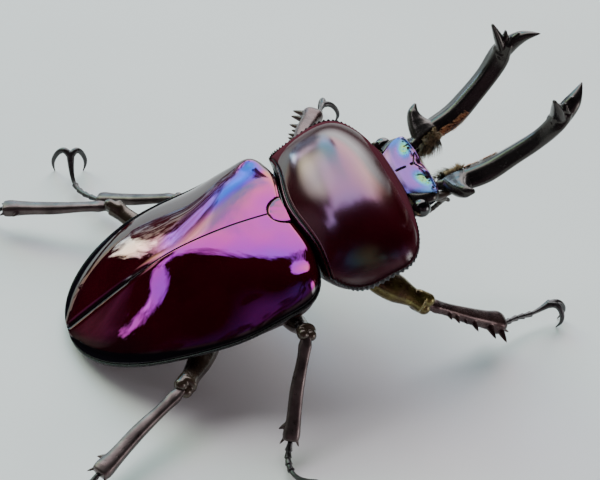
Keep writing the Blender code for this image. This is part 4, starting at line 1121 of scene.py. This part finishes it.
def bump(tree, principled, height, distance, before=None):
    """Feeds a height, distance in millimetres, to the shader's normal."""
    node = add(tree, "ShaderNodeBump", Strength=1.0, Distance=distance * MM)
    tree.links.new(height, node.inputs["Height"])
    if before is not None:
        tree.links.new(before, node.inputs["Normal"])
    tree.links.new(node.outputs[0], principled.inputs["Normal"])
    return node.outputs[0]


def mapped(tree, source, low, high, to_low, to_high):
    """A value moved from one range to another."""
    ends = {"From Min": low, "From Max": high, "To Min": to_low, "To Max": to_high}
    node = add(tree, "ShaderNodeMapRange", **ends)
    tree.links.new(source, node.inputs["Value"])
    return node.outputs[0]


def read(tree, key):
    """A named number of the mesh's points."""
    node = tree.nodes.new("ShaderNodeAttribute")
    node.attribute_name = key
    return node.outputs["Fac"]


def shell(name, dark, light, film_ior, ior, roughness, pit_scale=None, pit_depth=0.01, wave=0.0, coat=0.0):
    """Polished insect shell: a dark body colour under a thin film, whose thickness the points give."""
    material, tree, principled = shader(
        name, Roughness=roughness, IOR=ior, Thin_Film_IOR=film_ior,
        Coat_Weight=coat, Coat_Roughness=roughness, Coat_IOR=1.5,
    )
    mottle(tree, principled, grain(tree, 0.25, 4.0), dark, light)
    drift = mapped(tree, grain(tree, 0.12, 2.0), 0.3, 0.7, -FILM_DRIFT, FILM_DRIFT)
    thickness = combined(tree, "ADD", read(tree, "film"), drift)
    tree.links.new(thickness, principled.inputs["Thin Film Thickness"])
    before = None
    if wave:
        before = bump(tree, principled, grain(tree, 0.35, 1.0, 0.4), wave)
    if pit_scale:
        hollow = mapped(tree, pits(tree, pit_scale), 0.0, 0.35, 0.0, 1.0)
        bump(tree, principled, hollow, pit_depth, before)
    return material


def plain_shell(
    name, dark, light, roughness, pit_scale=2.0, pit_depth=0.01, gloss=0.5, metallic=0.0, stops=(0.3, 0.7)
):
    """Dark shell with scattered pits and uneven polish."""
    material, tree, principled = shader(name, IOR=1.6, Metallic=metallic, Specular_IOR_Level=gloss)
    mottle(tree, principled, grain(tree, 0.5, 5.0), dark, light, stops)
    tree.links.new(mapped(tree, grain(tree, 1.5, 4.0), 0.3, 0.7, *roughness), principled.inputs["Roughness"])
    hollow = mapped(tree, pits(tree, pit_scale), 0.0, 0.3, 0.0, 1.0)
    bump(tree, principled, hollow, pit_depth)
    return material


ELYTRA = shell(
    "elytra_shell", (0.022, 0.0005, 0.002), (0.035, 0.001, 0.004), 1.6, 2.7, 0.02, wave=0.012, coat=0.18
)
PRONOTUM = shell(
    "pronotum_shell", (0.022, 0.0006, 0.002), (0.035, 0.001, 0.004), 1.62, 1.9, 0.17, 3.0, 0.003, coat=0.4
)
HEAD = shell("head_shell", (0.03, 0.01, 0.03), (0.05, 0.02, 0.04), 1.5, 2.3, 0.2, coat=0.8)
EDGE = plain_shell("edge_shell", (0.003, 0.003, 0.004), (0.008, 0.006, 0.008), (0.2, 0.35), 2.0, 0.004, 0.25)
BLACK = plain_shell("jaw_shell", (0.006, 0.005, 0.006), (0.014, 0.011, 0.012), (0.19, 0.29), 2.2, 0.008, 0.4)
BLACK.node_tree.nodes["Principled BSDF"].inputs["Specular Tint"].default_value = (1.0, 0.9, 0.82, 1.0)
EYE = plain_shell("eye_shell", (0.003, 0.003, 0.003), (0.006, 0.005, 0.006), (0.05, 0.09), 12.0, 0.002)
UNDERSIDE = plain_shell("underside_shell", (0.016, 0.005, 0.006), (0.035, 0.012, 0.01), (0.2, 0.4), 3.0, 0.02)
FEMUR = plain_shell(
    "femur_shell", (0.03, 0.018, 0.014), (0.08, 0.055, 0.036), (0.16, 0.3), 2.5, 0.012, 0.5, 0.4
)
FORE_FEMUR = plain_shell(
    "fore_femur_shell", (0.05, 0.022, 0.01), (0.2, 0.17, 0.045), (0.18, 0.3), 2.5, 0.01, 0.5, 0.6,
    stops=(0.35, 0.66),
)
TIBIA = plain_shell(
    "tibia_shell", (0.05, 0.036, 0.036), (0.14, 0.107, 0.104), (0.26, 0.42), 2.5, 0.014, 0.25, 0.75
)
FORE_TIBIA = plain_shell(
    "fore_tibia_shell", (0.03, 0.012, 0.014), (0.09, 0.052, 0.048), (0.2, 0.34), 2.5, 0.012, 0.4, 0.6
)
TARSUS = plain_shell("tarsus_shell", (0.011, 0.009, 0.01), (0.03, 0.026, 0.028), (0.24, 0.38), 3.0, 0.01, 0.4)
FEELER = plain_shell("feeler_shell", (0.02, 0.012, 0.008), (0.05, 0.03, 0.02), (0.3, 0.5), 3.0, 0.01)


def hair_colour(name, stops):
    """Hair whose colour runs from root to tip."""
    material, tree, principled = shader(name, Roughness=0.45, IOR=1.5)
    tree.links.new(ramp(tree, read(tree, "along"), stops), principled.inputs["Base Color"])
    return material


BRUSH = hair_colour(
    "brush_hair", ((0.25, (0.012, 0.007, 0.004)), (0.7, (0.05, 0.03, 0.014)), (1.0, (0.36, 0.25, 0.12)))
)
RUST = hair_colour("rust_hair", ((0.1, (0.07, 0.024, 0.012)), (0.9, (0.8, 0.32, 0.14))))
GOLD = hair_colour("gold_hair", ((0.1, (0.06, 0.036, 0.018)), (0.9, (0.52, 0.38, 0.23))))


def darken(material, colour, plain_gloss, low=0.0, high=1.0, most=0.0, grazing=0.0):
    """Takes a shell's gloss away where its points are dark, and at shallow angles.

    Between the facing values low and high the gloss loses up to most of itself, and past high up
    to grazing more. Dark points take the colour. At plain_gloss the shell bends light as its film
    does, so that the film has faded where it ends.
    """
    tree = material.node_tree
    principled = tree.nodes["Principled BSDF"]
    dark = read(tree, "dark")
    base = principled.inputs["Base Color"]
    tree.links.new(blended(tree, "MIX", dark, base.links[0].from_socket, colour), base)
    facing = tree.nodes.new("ShaderNodeLayerWeight").outputs["Facing"]
    dull = combined(tree, "MAXIMUM", mapped(tree, facing, low, high, 0.0, most), dark)
    if grazing:
        steep = mapped(tree, facing, high, high + GRAZING_WIDTH, 0.0, grazing)
        dull = combined(tree, "ADD", dull, steep, use_clamp=True)
    thickness = principled.inputs["Thin Film Thickness"]
    filmed = combined(tree, "LESS_THAN", dull, FILM_END)
    tree.links.new(combined(tree, "MULTIPLY", thickness.links[0].from_socket, filmed), thickness)
    fading = mapped(tree, dull, 0.1, 0.6, 0.5, plain_gloss)
    level = combined(tree, "ADD", fading, mapped(tree, dull, FILM_END, 0.98, 0.0, -plain_gloss))
    tree.links.new(level, principled.inputs["Specular IOR Level"])
    coat_weight = principled.inputs["Coat Weight"]
    tree.links.new(mapped(tree, dull, 0.0, 0.6, coat_weight.default_value, 0.0), coat_weight)


# The dark points are painted shade on the head, in its grooves and pits and on its side and under wall, and
# on the wing cases in the step round the scutellum and along the rear suture; on the pronotum they are its
# dull wine margin
darken(HEAD, (0.004, 0.003, 0.006), 0.13)
darken(ELYTRA, (0.004, 0.003, 0.005), 0.13, 0.38, 0.56, 0.6, 0.2)
darken(PRONOTUM, (0.085, 0.02, 0.03), 0.29, 0.41, 0.5, 0.65, 0.3)


# Build

# Count and clumps, stretch along the jaw, angles round it, length and radius, droop, seed and material
JAW_COATS = {
    "brush_": (1700, 70, (20.1, 22.7), (-80, 30), 1.5, 0.03, (-0.45, -0.1, -0.4), 3, BRUSH),
    "pile_": (1600, 90, (20.9, 22.9), (0, 60), 0.85, 0.03, (-0.1, 0.0, 0.0), 4, GOLD),
    "nap_": (650, 110, (23.2, 27.0), (-8, 42), 0.28, 0.028, (0.4, 0.0, -0.1), 5, RUST),
}

for side, word in ((1, "left"), (-1, "right")):
    shape, black, values = elytron(side)
    piece("wing_case_" + word, shape, ELYTRA, ("elytron_" + word,), (EDGE, black), values)
    piece("round_eye_" + word, eye(side), EYE, ("eye_" + word,))
    piece("brow_" + word, canthus(side), BLACK, ())
    piece("cheek_" + word, cheek(side), FEELER, ())
    jaw = piece("jaw_" + word, mandible(side), BLACK, ("mandible_" + word,))
    melt(jaw, 0.08, 4)
    for coat_name, settings in JAW_COATS.items():
        jaw_coat(coat_name + word, side, *settings)
    piece("feeler_" + word, feeler(side), FEELER, ("antenna_" + word,))
    piece("mouth_feeler_" + word, palp(side), FEELER, ("palp_" + word,))

shape = scutellum()
values = {"film": np.full(len(shape[0]), ELYTRA_FILM), "dark": np.zeros(len(shape[0]))}
piece("shield_small", shape, ELYTRA, ("scutellum",), None, values)
shape, black, values = pronotum()
piece("shield_large", shape, PRONOTUM, ("pronotum",), (EDGE, black), values)
neck_fringe()
shape, values = head()
piece("head_block", shape, HEAD, ("head",), None, values)
piece("fore_keel", keel(
    WAIST_X + WAIST_BOW, PRONOTUM_FRONT_X - 0.1, 60, lambda x: pronotum_half_width(x) - 1.5,
    lambda x: spline(PRONOTUM_MARGIN, x) - 0.5, lambda x: spline(PROSTERNUM_DEPTH, x),
), UNDERSIDE, ("prosternum",))
piece("mid_keel", keel(
    ELYTRA_FRONT_X, METATHORAX_REAR_X, 90, hind_half_width, under_elytra, lambda x: spline(HIND_DEPTH, x),
), UNDERSIDE, ("metathorax",))
piece("hind_keel", keel(
    METATHORAX_REAR_X - 0.1, ABDOMEN_TIP_X, 180, hind_half_width, under_elytra,
    lambda x: spline(HIND_DEPTH, x), ABDOMEN_STEPS,
), UNDERSIDE, ("abdomen",))

for leg in LEGS:
    fore = leg.startswith("front")
    thing = piece("thigh_" + leg, femur(leg), FORE_FEMUR if fore else FEMUR, ("femur_" + leg,))
    melt(thing, 0.1, 3)
    thing = piece("shin_" + leg, tibia(leg), FORE_TIBIA if fore else TIBIA, ("tibia_" + leg,))
    melt(thing, 0.08, 3)
    piece("foot_" + leg, tarsus(leg), TARSUS, ("tarsus_" + leg,))


# Studio

MAIN_LIGHT = 5.5
MAIN_COLOUR = (1.0, 0.97, 1.0)
# The main light fades between two values of the direction's northward, sideways or upward parts
SOUTH_EDGE = (0.36, 0.42)
WEST_EDGE = (-1.16, -1.08)
WEST_LEAN = 1.16
EAST_EDGE = (-0.2, 0.05)
HORIZON = (0.08, 0.33)
HORIZON_LIGHT = 0.06
# Direction, inner and outer distance from it, strength, colour and raggedness of the smaller lights
LIGHT_PATCHES = (
    ((-0.67, 0.39, 0.63), 0.05, 0.085, 4.2, (1.0, 0.99, 1.08), 1.0),
    ((-0.74, 0.30, 0.60), 0.06, 0.10, 4.2, (1.0, 0.99, 1.08), 1.0),
    ((-0.83, 0.26, 0.49), 0.05, 0.09, 4.4, (1.0, 0.99, 1.08), 1.0),
    ((-0.385, 0.915, 0.11), 0.04, 0.08, 15.0, (0.62, 1.0, 1.35), 1.0),
    ((-0.35, 0.915, 0.20), 0.04, 0.08, 4.0, (0.7, 0.75, 1.3), 1.0),
    ((-0.27, 0.91, 0.31), 0.06, 0.11, 3.5, (0.8, 0.95, 1.1), 1.0),
    ((-0.47, 0.74, 0.48), 0.07, 0.28, 9.0, (0.75, 1.15, 0.72), 0.5),
    ((-0.01, 0.89, 0.45), 0.04, 0.09, 1.5, (0.4, 0.8, 1.4), 1.0),
    ((-0.9, 0.38, 0.2), 0.05, 0.25, 0.4, (0.8, 0.9, 0.7), 1.5),
    ((0.75, -0.62, 0.22), 0.15, 0.3, 5.0, (1.0, 1.0, 1.0), 1.0),
)
# Direction, inner and outer distance from it, and the colour that the main light takes there
LIGHT_TINTS = (
    ((-0.13, 0.80, 0.58), 0.1, 0.27, (0.35, 0.95, 0.75)),
    ((0.0, 0.87, 0.49), 0.12, 0.25, (0.42, 0.85, 1.25)),
    ((0.13, 0.85, 0.50), 0.07, 0.115, (0.06, 0.04, 0.05)),
)
# The streaked patch: its direction and distances, strength, and the stretch and colours of its noise
STREAKS = ((-0.19, 0.965, 0.16), 0.17, 0.25)
STREAK_LIGHT = 3.8
STREAK_STRETCH = (16.0, 6.0, 48.0)
STREAK_COLOURS = (
    (0.0, (0.02, 0.01, 0.012)),
    (0.46, (0.04, 0.025, 0.04)),
    (0.56, (0.36, 0.5, 0.72)),
    (1.0, (0.6, 0.8, 1.05)),
)
# The dim blotchy light low on the near side
NEAR_COLOUR = (0.42, 0.27, 0.33)
NEAR_TOP = (0.48, 0.75)
NEAR_EDGE = (-0.55, -0.15)
NEAR_BLOTCHES = (0.47, 0.53)
VECTOR_MATH = "ShaderNodeVectorMath"


def floor():
    """A wide pale floor, which is no part of the beetle."""
    mesh = bpy.data.meshes.new("floor")
    reach = 2.0
    corners = [(x * reach, y * reach, 0) for x, y in ((-1, -1), (1, -1), (1, 1), (-1, 1))]
    mesh.from_pydata(corners, [], [(0, 1, 2, 3)])
    material, tree, principled = shader("floor", Roughness=0.6)
    mottle(tree, principled, grain(tree, 0.02, 2.0), (0.88, 0.89, 0.89), (0.93, 0.94, 0.94))
    mesh.materials.append(material)
    thing = bpy.data.objects.new("floor", mesh)
    bpy.context.scene.collection.objects.link(thing)


def sky():
    """A wide soft light over the beetle's far side, with the near side left dim."""
    world = bpy.data.worlds.new("studio")
    bpy.context.scene.world = world
    world.use_nodes = True
    tree = world.node_tree
    background = tree.nodes["Background"]
    direction = tree.nodes.new("ShaderNodeTexCoord").outputs["Generated"]
    split = tree.nodes.new("ShaderNodeSeparateXYZ")
    tree.links.new(direction, split.inputs[0])
    east, north, high = split.outputs
    ragged = add(tree, "ShaderNodeTexNoise", Scale=5.0, Detail=7.0, Roughness=0.68)
    tree.links.new(direction, ragged.inputs["Vector"])
    uneven = mapped(tree, ragged.outputs["Fac"], 0.3, 0.7, -0.06, 0.06)

    def total(*terms):
        """The sum of sockets, each times its factor."""
        result = 0.0
        for source, factor in terms:
            result = combined(tree, "MULTIPLY_ADD", source, factor, result)
        return result

    def product(result, *factors):
        """The product of sockets."""
        for factor in factors:
            result = combined(tree, "MULTIPLY", result, factor)
        return result

    def patch(centre, inner, outer, raggedness=1.0):
        """Brightness that fades between two distances from a direction."""
        away = combined(tree, "DISTANCE", direction, centre, kind=VECTOR_MATH, output=1)
        return mapped(tree, total((away, 1.0), (uneven, raggedness)), inner, outer, 1.0, 0.0)

    def tinted(brightness, colour, before=(0.0, 0.0, 0.0)):
        """Adds brightness of a colour to what is there before."""
        return combined(tree, "MULTIPLY_ADD", brightness, colour, before, kind=VECTOR_MATH)

    over = mapped(tree, total((north, 1.0), (uneven, 1.0)), *SOUTH_EDGE, 0.0, MAIN_LIGHT)
    west_edge = mapped(tree, total((east, WEST_LEAN), (north, -1.0), (uneven, 1.0)), *WEST_EDGE, 0.0, 1.0)
    east_edge = mapped(tree, total((north, 1.0), (east, -1.0)), *EAST_EDGE, 0.0, 1.0)
    horizon = mapped(tree, high, *HORIZON, HORIZON_LIGHT, 1.0)
    light = tinted(product(over, west_edge, east_edge, horizon), MAIN_COLOUR)
    for centre, inner, outer, colour in LIGHT_TINTS:
        light = blended(tree, "MULTIPLY", patch(centre, inner, outer), light, colour)
    streaks = add(tree, "ShaderNodeTexNoise", Scale=1.0, Detail=7.0, Roughness=0.65, Distortion=0.8)
    stretched = combined(tree, "MULTIPLY", direction, STREAK_STRETCH, kind=VECTOR_MATH)
    tree.links.new(stretched, streaks.inputs["Vector"])
    streaked = patch(*STREAKS)
    light = blended(tree, "MULTIPLY", streaked, light, (0.0, 0.0, 0.0))
    streak_colour = ramp(tree, streaks.outputs["Fac"], STREAK_COLOURS)
    light = tinted(total((streaked, STREAK_LIGHT)), streak_colour, light)
    for centre, inner, outer, strength, colour, raggedness in LIGHT_PATCHES:
        bright = tuple(strength * part for part in colour)
        light = tinted(patch(centre, inner, outer, raggedness), bright, light)
    blotches = add(tree, "ShaderNodeTexNoise", Scale=3.0, Detail=3.0, Roughness=0.5)
    tree.links.new(direction, blotches.inputs["Vector"])
    near = product(
        mapped(tree, high, *NEAR_TOP, 1.0, 0.0),
        mapped(tree, north, *NEAR_EDGE, 1.0, 0.0),
        mapped(tree, blotches.outputs["Fac"], *NEAR_BLOTCHES, 0.15, 1.0),
    )
    light = tinted(near, NEAR_COLOUR, light)
    tree.links.new(light, background.inputs["Color"])
    background.inputs["Strength"].default_value = 1.0


def camera():
    """The photograph's viewing place."""
    data = bpy.data.cameras.new("camera")
    data.lens = FOCAL_LENGTH
    data.sensor_width = 36.0
    data.clip_start, data.clip_end = 0.005, 10.0
    thing = bpy.data.objects.new("camera", data)
    back = CAMERA_RIGHT.cross(CAMERA_UP).normalized()
    up = back.cross(CAMERA_RIGHT).normalized()
    place = Vector(ground(CAMERA_PLACE) * MM)
    rows = [[CAMERA_RIGHT[i], up[i], back[i], place[i]] for i in range(3)] + [[0, 0, 0, 1]]
    thing.matrix_world = Matrix(rows)
    bpy.context.scene.collection.objects.link(thing)
    bpy.context.scene.camera = thing


floor()
sky()
camera()

bpy.context.view_layer.update()
